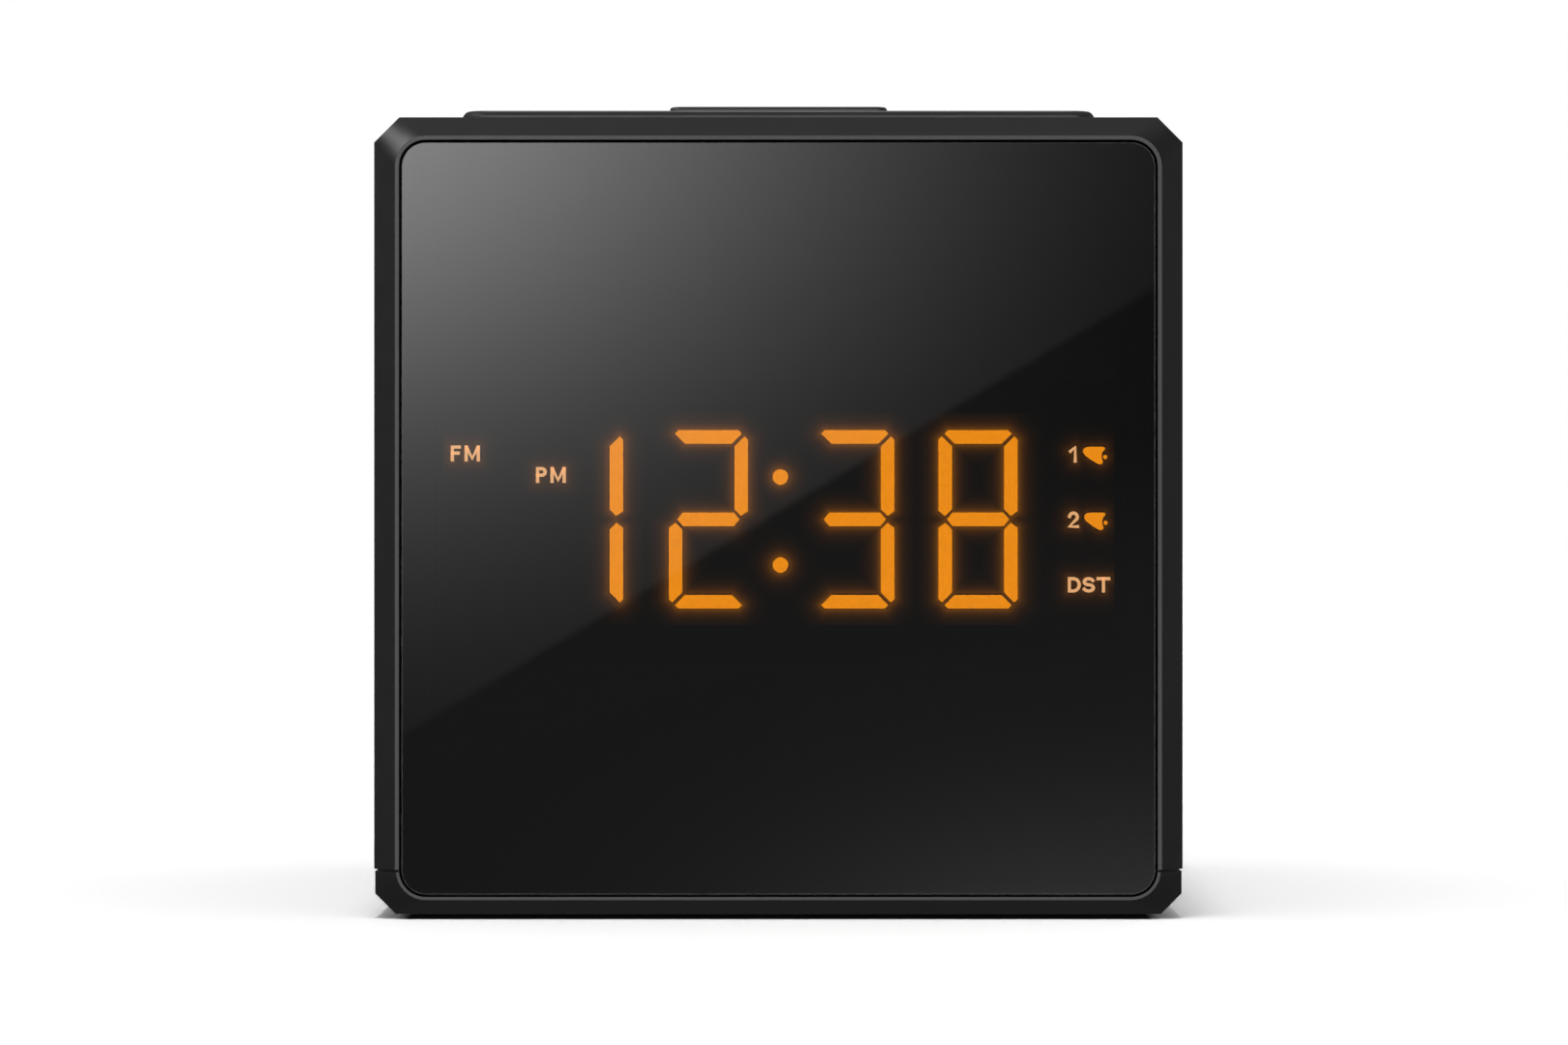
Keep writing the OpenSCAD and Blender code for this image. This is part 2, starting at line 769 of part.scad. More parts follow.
module transformer_core() color(STEEL) {
    inner_z = [core_z[0] + leg_w, core_z[1] - leg_w];
    difference() {
        block([core_x[0], core_y[0], core_z[0]], [core_x[1], core_y[1], core_z[1]]);
        for (x = [core_x[0] + leg_w, core_x[1] - 2 * leg_w]) {
            block([x, core_y[0] - 1, inner_z[0]], [x + leg_w, core_y[1] + 1, inner_z[1]]);
        }
    }
}

module transformer_coil() color(COPPER) {
    difference() {
        block([core_x[0] + leg_w + 0.4, core_y[0] - 7, core_z[0] + leg_w + 0.3],
              [core_x[1] - leg_w - 0.4, core_y[1] + 7, core_z[1] - leg_w - 0.3]);
        block([core_x[0] + 2 * leg_w, core_y[0], 0], [core_x[1] - 2 * leg_w, core_y[1], BIG]);
    }
}

module transformer_bracket() color(STEEL) {
    y0 = ear_y - 5;
    y1 = ear_y + 5;
    left = core_x[0] - strap_t;
    right = core_x[1] + strap_t;
    difference() {
        union() {
            block([left, y0, core_z[1]], [right, y1, core_z[1] + strap_t]);
            block([left, y0, core_z[0]], [core_x[0], y1, core_z[1] + strap_t]);
            block([core_x[1], y0, core_z[0]], [right, y1, core_z[1] + strap_t]);
            block([ear_x[0] - 2.6, y0, core_z[0]], [core_x[0], y1, core_z[0] + strap_t]);
            block([core_x[1], y0, core_z[0]], [ear_x[1] + 1.4, y1, core_z[0] + strap_t]);
        }
        for (x = ear_x) rod_z([x, ear_y], 1.5, 0, core_z[0] + 2);
    }
}

// Screws of the main board, the transformer, the key board and the display board
module board_screws() color(STEEL) {
    head = 1.4;
    for (at = board_bosses) {
        translate([at[0], at[1], board_top + head]) rotate([180, 0, 0]) screw(board_head_r, head, 8);
    }
    for (at = key_posts) {
        translate([at[0], at[1], key_board_z - head]) screw(board_head_r, head, 6.5);
    }
    for (s = [-1, 1], z = display_post_z) {
        translate([s * display_post_x, housing_y[1] + pcb_t + head, z])
            rotate([90, 0, 0])
                screw(board_head_r, head, 6.5);
    }
    for (x = ear_x) {
        translate([x, ear_y, core_z[0] + strap_t + head])
            rotate([180, 0, 0])
                screw(1.6, head, 4.6);
    }
}

// ---------------------------------------------------------------- keys

module key_board() color(BOARD_GREEN) {
    difference() {
        block([-key_board_x, key_board_y[0], key_board_z],
              [key_board_x, key_board_y[1], key_board_top]);
        for (at = key_posts) rod_z(at, 1.5, 0, BIG);
    }
}

module switch_bodies() color(STEEL) {
    for (at = SWITCHES) {
        difference() {
            block([at[0] - switch_w / 2, at[1] - switch_w / 2, key_board_top],
                  [at[0] + switch_w / 2, at[1] + switch_w / 2, key_board_top + switch_h]);
            rod_z(at, plunger_r + 0.2, plunger_z - 1, BIG);
        }
    }
}

module key_ribbon() color(STEEL) {
    block([29, 31, header_top], [37, 31.6, key_board_z]);
}

// A key: a cap in the panel, a flange that stops it under the panel, and a stem to each switch
module key(box, top_z, switches) {
    size = [box[2], box[3]];
    round_plate(box, size, key_r, flange_z[0], top_z);
    round_plate(box, size + 2 * [flange_w, flange_w], key_r, flange_z[0], flange_z[1]);
    for (at = switches) {
        rod_z(at, stem_r, stem_z, flange_z[0] + 0.5);
        rod_z(at, plunger_r, plunger_z, stem_z + 0.5);
    }
}

module top_key(box) {
    color(BLACK) key(box, key_top_z, [[box[0], box[1]]]);
}

module snooze_bar() color(BLACK) {
    key(SNOOZE, snooze_top_z, [for (s = [-1, 1]) [s * snooze_switch_x, SNOOZE[1]]]);
}

// ---------------------------------------------------------------- side dials

// A dial with a knurled edge and a shaft that points down
module dial(side) {
    x = side * dial_x;
    difference() {
        rod_z([x, dial_y], dial_r, dial_z[0], dial_z[1]);
        for (k = [0:knurls - 1]) {
            a = (k + 0.5) * 360 / knurls;
            rod_z([x + dial_r * cos(a), dial_y + dial_r * sin(a)], knurl_r, 0, BIG, $fn = 6);
        }
    }
    rod_z([x, dial_y], shaft_r + 1.2, dial_z[0] - 1.5, dial_z[0] + 0.5);
    rod_z([x, dial_y], shaft_r, shaft_z, dial_z[0] - 1);
}

module volume_dial() color(SOFT_BLACK) dial(-1);

module tuning_dial() color(SOFT_BLACK) dial(1);

module volume_control() color(STEEL) {
    difference() {
        union() {
            rod_z([-dial_x, dial_y], 8, board_top, control_top - 1.5);
            rod_z([-dial_x, dial_y], 4.5, board_top, control_top);
        }
        rod_z([-dial_x, dial_y], shaft_r + shaft_gap, shaft_z - 1, BIG);
    }
}

module tuning_capacitor() color(WHITE) {
    difference() {
        union() {
            round_plate([dial_x, dial_y], [16, 16], 1, board_top, control_top - 1.5);
            rod_z([dial_x, dial_y], 4.5, board_top, control_top);
        }
        rod_z([dial_x, dial_y], shaft_r + shaft_gap, shaft_z - 1, BIG);
    }
}

// ---------------------------------------------------------------- speaker

// Puts a shape that is turned about Z on the speaker's axis, its Z along +Y
module on_speaker() {
    translate([0, 0, speaker_z]) rotate([-90, 0, 0]) children();
}

module speaker_basket() color(STEEL) {
    difference() {
        union() {
            on_speaker() rotate_extrude() polygon([
                [roll_r[1], flange_face], [28.5, flange_face], [28.5, flange_face - 1.4],
                [26.2, flange_face - 1.4], [17.4, basket_back], [8, basket_back],
                [8, basket_floor], [ledge_r, basket_floor], [ledge_r, spider_y],
                [spider_r[1], spider_y], [roll_r[1], flange_face - 2.4]
            ]);
            block([terminal_x - 4, 38, 30], [terminal_x + 4, 40, 40]);
        }
        on_speaker() {
            for (a = [45:90:315]) rotate(a) translate([10, -6, 38]) cube([20, 12, 8]);
            translate([0, 0, flange_face - 2.6]) cylinder(r = roll_r[1], h = 20);
            rotate_extrude() polygon([
                [0, basket_floor], [ledge_r, basket_floor], [ledge_r, spider_y],
                [spider_r[1] + 0.1, spider_y], [roll_r[1], flange_face - 2.2],
                [0, flange_face - 2.2]
            ]);
        }
    }
}

module speaker_magnet() color([0.25, 0.25, 0.26]) {
    on_speaker() rotate_extrude() polygon([
        [0, 22], [15, 22], [15, 24.5], [16, 24.5], [16, 31], [15, 31], [15, 33], [6.9, 33],
        [6.9, 31], [9, 31], [9, 24.5], [5.4, 24.5], [5.4, 33], [0, 33]
    ]);
}

module speaker_cone() color(SMOKE) {
    on_speaker() rotate_extrude() polygon([
        [cone_neck_r, cone_neck_y], [cone_neck_r, cone_neck_y + 0.7],
        [roll_r[0] - 0.5, roll_y], [roll_r[0], roll_y], [roll_r[0], roll_y - 0.4]
    ]);
}

// The ring between the cone and the basket: a half roll
module speaker_surround() color(RUBBER) {
    mid = (roll_r[0] + roll_r[1]) / 2;
    outer = (roll_r[1] - roll_r[0]) / 2;
    inner = outer - roll_t;
    on_speaker() rotate_extrude() polygon(concat(
        [for (a = [0:15:180]) [mid - outer * cos(a), roll_y + 0.6 * outer * sin(a)]],
        [for (a = [180:-15:0]) [mid - inner * cos(a), roll_y + 0.6 * inner * sin(a)]]
    ));
}

module dust_cap() color(SMOKE) {
    r = 8;
    base = 39.6;
    rise = 3;
    on_speaker() rotate_extrude() polygon(concat(
        [for (a = [0:15:90]) [r * cos(a), base + rise * sin(a)]],
        [for (a = [90:-15:0]) [(r - 0.4) * cos(a), base + (rise - 0.4) * sin(a)]]
    ));
}

module voice_coil() color(COPPER) {
    on_speaker() difference() {
        translate([0, 0, 27.5]) cylinder(r = coil_r[1], h = cone_neck_y + 0.7 - 27.5);
        translate([0, 0, 27]) cylinder(r = coil_r[0], h = 20);
    }
}

// The corrugated disc that keeps the voice coil centred: three ripples across its width
function ripple(share) = spider_y + spider_ripple * (1 - cos(share * 1080));
module speaker_spider() color([0.72, 0.55, 0.25]) {
    steps = 24;
    span = spider_r[1] - spider_r[0];
    shares = [for (i = [0:steps]) i / steps];
    on_speaker() rotate_extrude() polygon(concat(
        [for (s = shares) [spider_r[0] + span * s, ripple(s)]],
        [for (i = [steps:-1:0]) [spider_r[0] + span * shares[i], ripple(shares[i]) + spider_t]]
    ));
}

module speaker_grille() color(SOFT_BLACK) {
    rows = ceil((grille_open_r - 1.2) / (grille_pitch * sin(60)));
    reach = grille_open_r - grille_hole_r - 0.8;
    difference() {
        rod_y([0, speaker_z], grille_r, grille_y[0], grille_y[1]);
        for (row = [-rows:rows], k = [-rows:rows]) {
            x = grille_pitch * (k + (row % 2 == 0 ? 0 : 0.5));
            z = grille_pitch * sin(60) * row;
            if (norm([x, z]) < reach) rod_y([x, speaker_z + z], grille_hole_r, 0, BIG, $fn = 16);
        }
    }
}

module grille_cloth() color(RUBBER) {
    rod_y([0, speaker_z], 27.5, cover_y0 - cloth_t, cover_y0);
}

// ---------------------------------------------------------------- battery drawer

module battery_tray() color(SOFT_BLACK) {
    difference() {
        union() {
            block([tray_x[0], tray_y0, tray_z[0]], [tray_x[1], plate_y[1], tray_z[1]]);
            block([plate_x0, plate_y[0], plate_z[0]], [tray_x[1], plate_y[1], plate_z[1]]);
        }
        rod_z(cell_at, cell_r + 0.2, tray_z[0] + 1.3, BIG);
        rod_z(cell_at, 4, 0, BIG);
        rod_y(tray_screw_at, 1.1, 0, BIG);
        rod_y(tray_screw_at, 2.1, plate_y[1] - 0.8, BIG);
    }
}

module coin_cell() color(STEEL) {
    base = tray_z[0] + 1.3;
    rod_z(cell_at, cell_r, base, base + cell_h - 0.4);
    rod_z(cell_at, cell_r - 1.2, base + cell_h - 0.5, base + cell_h);
}

// A strip over the cell and a strip behind the drawer
module battery_contacts() color(STEEL) {
    x = cell_at[0];
    lift = tray_z[1] + 0.3;
    block([x - 3, 26, lift], [x + 3, 38, lift + 0.3]);
    block([x - 3, 26, lift], [x + 3, 26.3, board_z]);
    block([x - 4, 23.3, tray_z[0]], [x + 4, 23.6, board_z]);
}

module tray_screw() color(STEEL) {
    head = 0.8;
    translate([tray_screw_at[0], plate_y[1], tray_screw_at[1]])
        rotate([90, 0, 0])
            difference() {
                union() {
                    cylinder(r = 1.9, h = head);
                    cylinder(r = 1, h = 4.6);
                }
                translate([-1.5, -0.25, -1]) cube([3, 0.5, 1.4]);
            }
}

// ---------------------------------------------------------------- rear fittings

module cord_gland() color(RUBBER) {
    difference() {
        union() {
            rod_y(gland_at, gland_flange_r, cover_y1, rear_y);
            rod_y(gland_at, gland_r, cover_y0 - 2, cover_y1 + 0.1);
            rod_y(gland_at, gland_r + 0.8, cover_y0 - 4, cover_y0 - 2);
        }
        rod_y(gland_at, gland_bore_r, 0, BIG);
    }
}

module band_switch() color(SOFT_BLACK) {
    x = band_at[0] - band_travel / 2;
    z = band_at[1];
    block([x - band_knob[0] / 2, cover_y0 - 1.2, z - band_knob[1] / 2],
          [x + band_knob[0] / 2, cover_y1 + 0.2, z + band_knob[1] / 2]);
    block([x - 1, cover_y0 - 4, z - 1], [x + 1, cover_y0 - 1, z + 1]);
}

module band_switch_body() color(STEEL) {
    face = cover_y0 - 1.5;
    z = band_at[1];
    difference() {
        union() {
            block([band_at[0] - 7, face - 4.5, z - 3.5], [band_at[0] + 7, face, z + 3.5]);
            for (s = [-1, 1]) {
                block([band_at[0] + s * 6 - 1, face - 1, z - 3.5],
                      [band_at[0] + s * 6 + 1, cover_y0, z + 3.5]);
            }
        }
        block([band_at[0] - band_travel / 2 - 1.3, face - 3, z - 1.3],
              [band_at[0] + band_travel / 2 + 1.3, BIG, z + 1.3]);
    }
}

// ---------------------------------------------------------------- assembly

cabinet();
base_cover();
rear_cover();
top_panel();
front_lens();
lens_tape();
display_housing();
lit_segments();
unlit_segments();
legend_windows();
display_board();
display_leds();
display_ribbon();
main_board();
tuner_shield();
board_chips();
capacitors();
board_connectors();
ferrite_rod();
ferrite_coil();
rod_holders();
transformer_core();
transformer_coil();
transformer_bracket();
key_board();
switch_bodies();
key_ribbon();
speaker_basket();
speaker_magnet();
speaker_cone();
speaker_surround();
dust_cap();
voice_coil();
speaker_spider();
internal_leads();
speaker_grille();
grille_cloth();
battery_tray();
coin_cell();
battery_contacts();
tray_screw();
rubber_feet();
case_screws();
board_screws();
cord_gland();
snooze_bar();
top_key(ALARM_1);  // alarm_1_key
top_key(ALARM_2);  // alarm_2_key
top_key(RADIO);  // radio_key
top_key(OFF);  // off_key
top_key(SLEEP);  // sleep_key
top_key(TIME_MINUS);  // time_minus_key
top_key(CLOCK);  // clock_key
top_key(TIME_PLUS);  // time_plus_key
volume_dial();
volume_control();
tuning_dial();
tuning_capacitor();
band_switch();
band_switch_body();
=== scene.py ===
"""Looks of a cube-shaped tabletop clock radio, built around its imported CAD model.

Sizes are in metres. The front faces -Y, +Z is up, and the radio stands on Z = 0.
"""

import json
import math

import bmesh
import bpy
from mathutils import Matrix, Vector
from mathutils.bvhtree import BVHTree


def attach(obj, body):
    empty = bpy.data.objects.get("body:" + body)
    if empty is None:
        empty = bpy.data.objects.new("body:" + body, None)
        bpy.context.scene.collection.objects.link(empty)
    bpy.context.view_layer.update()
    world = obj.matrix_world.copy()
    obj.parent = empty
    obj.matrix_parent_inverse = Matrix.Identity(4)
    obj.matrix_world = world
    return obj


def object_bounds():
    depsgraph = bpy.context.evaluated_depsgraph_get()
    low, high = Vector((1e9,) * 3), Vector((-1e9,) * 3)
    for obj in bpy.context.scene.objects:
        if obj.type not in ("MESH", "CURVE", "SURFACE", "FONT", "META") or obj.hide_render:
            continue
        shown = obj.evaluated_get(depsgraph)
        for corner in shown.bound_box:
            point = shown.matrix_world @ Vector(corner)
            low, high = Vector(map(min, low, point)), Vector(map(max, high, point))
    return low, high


MM = 0.001
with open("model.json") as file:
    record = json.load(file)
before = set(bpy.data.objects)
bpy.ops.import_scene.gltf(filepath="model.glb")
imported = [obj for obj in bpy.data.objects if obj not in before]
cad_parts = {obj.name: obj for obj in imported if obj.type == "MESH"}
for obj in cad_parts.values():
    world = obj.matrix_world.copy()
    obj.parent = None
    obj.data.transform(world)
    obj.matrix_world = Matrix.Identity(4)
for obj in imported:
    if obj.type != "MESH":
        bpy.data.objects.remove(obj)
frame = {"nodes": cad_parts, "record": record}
cad_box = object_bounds()

# ------------------------------------------------------------------ camera

FOCAL_LENGTH = 120
SENSOR_WIDTH = 36
NEAREST = 0.05
FARTHEST = 30
CAMERA_AT = (0.70 * MM, -703.7 * MM, 49.46 * MM)


def add_camera():
    """A level camera that looks along +Y at the middle of the front."""
    data = bpy.data.cameras.new("camera")
    data.lens = FOCAL_LENGTH
    data.sensor_width = SENSOR_WIDTH
    data.clip_start = NEAREST
    data.clip_end = FARTHEST
    camera = bpy.data.objects.new("camera", data)
    camera.location = CAMERA_AT
    camera.rotation_euler = (math.radians(90), 0, 0)
    bpy.context.scene.collection.objects.link(camera)
    bpy.context.scene.camera = camera


# ------------------------------------------------------------------ node helpers


class Graph:
    """A node tree with short calls for the nodes that the materials here need."""

    def __init__(self, tree):
        self.tree = tree
        tree.nodes.clear()

    def add(self, kind, inputs=None, **settings):
        """Adds a node. Inputs are numbers to set or sockets to link."""
        node = self.tree.nodes.new(kind)
        for name, value in settings.items():
            setattr(node, name, value)
        for key, value in (inputs or {}).items():
            if isinstance(value, bpy.types.NodeSocket):
                self.tree.links.new(value, node.inputs[key])
            else:
                node.inputs[key].default_value = value
        return node

    def math(self, operation, a, b=0.0):
        return self.add("ShaderNodeMath", {0: a, 1: b}, operation=operation).outputs[0]

    def ramp(self, value, low, high, to_low=0.0, to_high=1.0, smooth=False):
        """Takes low..high to to_low..to_high."""
        kind = "SMOOTHSTEP" if smooth else "LINEAR"
        inputs = {"Value": value, "From Min": low, "From Max": high, "To Min": to_low, "To Max": to_high}
        return self.add("ShaderNodeMapRange", inputs, interpolation_type=kind).outputs[0]

    def mix(self, share, a, b):
        """Colour a where the share is 0, and colour b where it is 1."""
        return self.add("ShaderNodeMix", {0: share, 6: a, 7: b}, data_type="RGBA").outputs[2]

    def noise(self, where, size, detail):
        inputs = {"Vector": where, "Scale": 1 / size, "Detail": detail}
        return self.add("ShaderNodeTexNoise", inputs).outputs[0]

    def split(self, vector):
        return self.add("ShaderNodeSeparateXYZ", {0: vector}).outputs


def rgba(colour):
    return (*colour, 1.0)


def scaled(colour, factor):
    return rgba([min(1.0, channel * factor) for channel in colour])


# ------------------------------------------------------------------ patterns

# Where the gap between two copper tracks starts and ends, as a share of their pitch
TRACK_EDGE = (0.12, 0.16)
SCRATCH_STRETCH = (0.04, 1, 1)


def bands(axis, pitch):
    """Parallel ridges across an axis, such as windings or laminations."""

    def pattern(graph, where):
        place = graph.split(where)[axis]
        turn = graph.math("MULTIPLY", place, 2 * math.pi / pitch)
        return graph.ramp(graph.math("SINE", turn), -1, 1)

    return pattern


def weave(pitch, axes=(0, 2)):
    """Threads that cross over and under."""

    def pattern(graph, where):
        places = graph.split(where)
        waves = [
            graph.math("SINE", graph.math("MULTIPLY", places[axis], math.pi / pitch))
            for axis in axes
        ]
        return graph.ramp(graph.math("MULTIPLY", *waves), -1, 1)

    return pattern


def tracks(pitch):
    """Copper tracks under the solder resist of a circuit board."""

    def pattern(graph, where):
        inputs = {"Vector": where, "Scale": 1 / pitch}
        cells = graph.add(
            "ShaderNodeTexVoronoi", inputs, feature="DISTANCE_TO_EDGE", distance="CHEBYCHEV"
        )
        return graph.ramp(cells.outputs["Distance"], *TRACK_EDGE)

    return pattern


def brushed(size):
    """Fine scratches along X."""

    def pattern(graph, where):
        stretched = graph.add("ShaderNodeMapping", {0: where, "Scale": SCRATCH_STRETCH}).outputs[0]
        return graph.noise(stretched, size, 4)

    return pattern


# ------------------------------------------------------------------ materials

MATERIALS = {}
# Size of the patches that colour and gloss drift in
COLOUR_PATCH = 14 * MM
GLOSS_PATCH = 2.8 * MM
# Values of the noise between which gloss goes from its least to its greatest
GLOSS_NOISE = (0.3, 0.7)
# Brightness of a pattern's lines, as a share of the material's colour
LINE_SHADE = 0.35
WINDOW_TINT = (0.028, 0.028, 0.0285)
WINDOW_ROUGHNESS = 0.004
WINDOW_IOR = 1.49
AMBER_GLOW = (0.95, 0.297, 0.003)
PALE_GLOW = (0.88, 0.45, 0.19)
AMBER_STRENGTH = 5.4


def surface(
    slot,
    colour,
    rough,
    vary=0.15,
    rough_vary=0.06,
    grain=0.22 * MM,
    grain_depth=0.006 * MM,
    pattern=None,
    pattern_share=0.0,
    pattern_depth=0.0,
    **sockets,
):
    """A material whose colour and gloss drift in soft patches over a fine grain."""
    material = bpy.data.materials.new(slot)
    material.use_nodes = True
    graph = Graph(material.node_tree)
    where = graph.add("ShaderNodeTexCoord").outputs["Object"]
    tint = drifting(graph, where, colour, vary)
    height = graph.math("MULTIPLY", graph.noise(where, grain, 2), grain_depth)
    if pattern:
        lines = pattern(graph, where)
        share = graph.math("MULTIPLY", lines, pattern_share)
        tint = graph.mix(share, tint, scaled(colour, LINE_SHADE))
        height = graph.math("ADD", height, graph.math("MULTIPLY", lines, pattern_depth))
    inputs = {"Base Color": tint, "Roughness": rough}
    if rough_vary:
        low, high = rough - rough_vary, rough + rough_vary
        inputs["Roughness"] = graph.ramp(graph.noise(where, GLOSS_PATCH, 4), *GLOSS_NOISE, low, high)
    if grain_depth or pattern:
        bump = graph.add("ShaderNodeBump", {"Height": height, "Strength": 1.0, "Distance": 1.0})
        inputs["Normal"] = bump.outputs[0]
    shader = graph.add("ShaderNodeBsdfPrincipled", {**inputs, **sockets})
    graph.add("ShaderNodeOutputMaterial", {0: shader.outputs[0]})
    MATERIALS[slot] = material


def drifting(graph, where, colour, vary):
    """The colour, which drifts by its share vary in soft patches."""
    drift = graph.noise(where, COLOUR_PATCH, 3)
    return graph.mix(drift, scaled(colour, 1 - vary), scaled(colour, 1 + vary))


def make_materials():
    metal = {"Metallic": 1.0}
    faint = {"Specular IOR Level": 0.1}
    surface("case_black", (0.012, 0.012, 0.013), 0.38, rough_vary=0.03, grain_depth=0.003 * MM)
    surface("panel_black", (0.016, 0.016, 0.017), 0.42, rough_vary=0.03, grain_depth=0.004 * MM)
    surface("key_black", (0.018, 0.018, 0.019), 0.40)
    surface("dial_black", (0.016, 0.016, 0.017), 0.42)
    surface("tape_black", (0.008, 0.008, 0.008), 0.9)
    surface("housing_black", (0.006, 0.006, 0.007), 0.8, grain_depth=0, **faint)
    surface("led_dark", (0.006, 0.005, 0.004), 0.6, grain_depth=0, **faint)
    surface("pcb_green", (0.02, 0.12, 0.05), 0.3, pattern=tracks(3.2 * MM), pattern_share=0.5,
            pattern_depth=0.03 * MM)
    surface("ribbon_grey", (0.45, 0.45, 0.46), 0.45, pattern=bands(0, 1.27 * MM),
            pattern_share=0.5, pattern_depth=0.2 * MM)
    surface("tinned_steel", (0.62, 0.62, 0.60), 0.34, pattern=brushed(0.3 * MM),
            pattern_share=0.25, pattern_depth=0.004 * MM, **metal)
    surface("screw_steel", (0.16, 0.16, 0.17), 0.36, pattern=brushed(0.2 * MM),
            pattern_share=0.3, pattern_depth=0.003 * MM, **metal)
    surface("cell_steel", (0.7, 0.7, 0.69), 0.22, pattern=brushed(0.2 * MM),
            pattern_share=0.15, pattern_depth=0.002 * MM, **metal)
    surface("copper_wire", (0.6, 0.27, 0.11), 0.3, pattern=bands(2, 0.35 * MM),
            pattern_share=0.6, pattern_depth=0.1 * MM, **metal)
    surface("capacitor_blue", (0.02, 0.03, 0.12), 0.35)
    surface("white_plastic", (0.74, 0.74, 0.70), 0.45, vary=0.05)
    surface("ferrite_grey", (0.05, 0.05, 0.055), 0.6, grain=0.4 * MM, grain_depth=0.02 * MM)
    surface("cone_paper", (0.02, 0.02, 0.022), 0.8, grain=0.5 * MM, grain_depth=0.05 * MM)
    surface("spider_cloth", (0.45, 0.3, 0.1), 0.85, pattern=weave(0.5 * MM), pattern_share=0.6,
            pattern_depth=0.08 * MM)
    surface("grille_cloth", (0.015, 0.015, 0.016), 0.95, pattern=weave(0.4 * MM),
            pattern_share=0.6, pattern_depth=0.08 * MM)
    surface("grille_metal", (0.020, 0.020, 0.022), 0.42, grain_depth=0.01 * MM)
    surface("rubber_black", (0.012, 0.012, 0.012), 0.75, grain_depth=0.01 * MM)
    surface("lead_red", (0.35, 0.02, 0.015), 0.4)
    smoked_window()
    for name, glow in (("led_amber", AMBER_GLOW), ("led_pale", PALE_GLOW)):
        surface(name, (0.3, 0.11, 0.01), 0.4, grain_depth=0,
                **{"Emission Color": rgba(glow), "Emission Strength": AMBER_STRENGTH})


def smoked_window():
    """Clear acrylic whose tint is all taken on the way in, so little light is lost inside it."""
    material = bpy.data.materials.new("lens_smoke")
    material.use_nodes = True
    graph = Graph(material.node_tree)
    where = graph.add("ShaderNodeTexCoord").outputs["Object"]
    entering = drifting(graph, where, WINDOW_TINT, 0.04)
    leaving = graph.add("ShaderNodeNewGeometry").outputs["Backfacing"]
    inputs = {
        "Base Color": graph.mix(leaving, entering, (1, 1, 1, 1)),
        "Roughness": WINDOW_ROUGHNESS,
        "IOR": WINDOW_IOR,
        "Transmission Weight": 1.0,
    }
    shader = graph.add("ShaderNodeBsdfPrincipled", inputs)
    graph.add("ShaderNodeOutputMaterial", {0: shader.outputs[0]})
    MATERIALS["lens_smoke"] = material


# ------------------------------------------------------------------ CAD nodes

# Angles between faces, in degrees: joined as one flat face, rounded with a bevel, and shaded sharp
FLAT_ANGLE = 0.6
BEVEL_ANGLE = 28
SHARP_ANGLE = 32
WELD_DISTANCE = 0.002 * MM
# Edge radius and segments of the nodes that show, and of any other node
EDGES = {
    "cabinet": (0.14 * MM, 3),
    "base_cover": (0.14 * MM, 3),
    "rear_cover": (0.2 * MM, 2),
    "top_panel": (0.3 * MM, 3),
    "front_lens": (0.2 * MM, 3),
    "snooze_bar": (0.5 * MM, 4),
    "display_housing": (0, 0),
    "lit_segments": (0, 0),
    "unlit_segments": (0, 0),
    "speaker_grille": (0.08 * MM, 1),
    "speaker_spider": (0, 0),
    "speaker_surround": (0, 0),
    "volume_dial": (0.12 * MM, 1),
    "tuning_dial": (0.12 * MM, 1),
}
KEY_EDGE = (0.35 * MM, 3)
INNER_EDGE = (0.06 * MM, 1)


def edge_softener():
    """A node group that shades smooth except across edges sharper than its angle."""
    group = bpy.data.node_groups.new("soften_edges", "GeometryNodeTree")
    group.interface.new_socket("Mesh", in_out="INPUT", socket_type="NodeSocketGeometry")
    group.interface.new_socket("Mesh", in_out="OUTPUT", socket_type="NodeSocketGeometry")
    graph = Graph(group)
    entry = graph.add("NodeGroupInput").outputs[0]
    angle = graph.add("GeometryNodeInputMeshEdgeAngle").outputs[0]
    gentle = graph.add(
        "FunctionNodeCompare",
        {0: angle, 1: math.radians(SHARP_ANGLE)},
        data_type="FLOAT",
        operation="LESS_THAN",
    ).outputs[0]
    faces = graph.add("GeometryNodeSetShadeSmooth", {0: entry, "Shade Smooth": True}, domain="FACE")
    edges = graph.add(
        "GeometryNodeSetShadeSmooth", {0: faces.outputs[0], "Shade Smooth": gentle}, domain="EDGE"
    )
    graph.add("NodeGroupOutput", {0: edges.outputs[0]})
    return group


def finish_node(node, group, radius, segments):
    """Joins a CAD node's triangles, rounds its edges and smooths its curved faces."""
    mesh = node.data
    if "custom_normal" in mesh.attributes:
        mesh.attributes.remove(mesh.attributes["custom_normal"])
    weld = node.modifiers.new("weld", "WELD")
    weld.merge_threshold = WELD_DISTANCE
    join = node.modifiers.new("join", "DECIMATE")
    join.decimate_type = "DISSOLVE"
    join.angle_limit = math.radians(FLAT_ANGLE)
    if radius:
        bevel = node.modifiers.new("bevel", "BEVEL")
        bevel.width = radius
        bevel.segments = segments
        bevel.limit_method = "ANGLE"
        bevel.angle_limit = math.radians(BEVEL_ANGLE)
        bevel.use_clamp_overlap = True
        bevel.miter_outer = "MITER_ARC"
    smooth = node.modifiers.new("smooth", "NODES")
    smooth.node_group = group
    normals = node.modifiers.new("normals", "WEIGHTED_NORMAL")
    normals.keep_sharp = True


def dress_nodes():
    """Gives every CAD node its material and its edges."""
    group = edge_softener()
    slots = {part["node"]: part["material_slot"] for part in frame["record"]["subparts"]}
    for name, node in frame["nodes"].items():
        default = KEY_EDGE if name.endswith("_key") else INNER_EDGE
        finish_node(node, group, *EDGES.get(name, default))
        node.data.materials.clear()
        node.data.materials.append(MATERIALS[slots[name]])


# ------------------------------------------------------------------ prints and legends


BOW_STEPS = 10


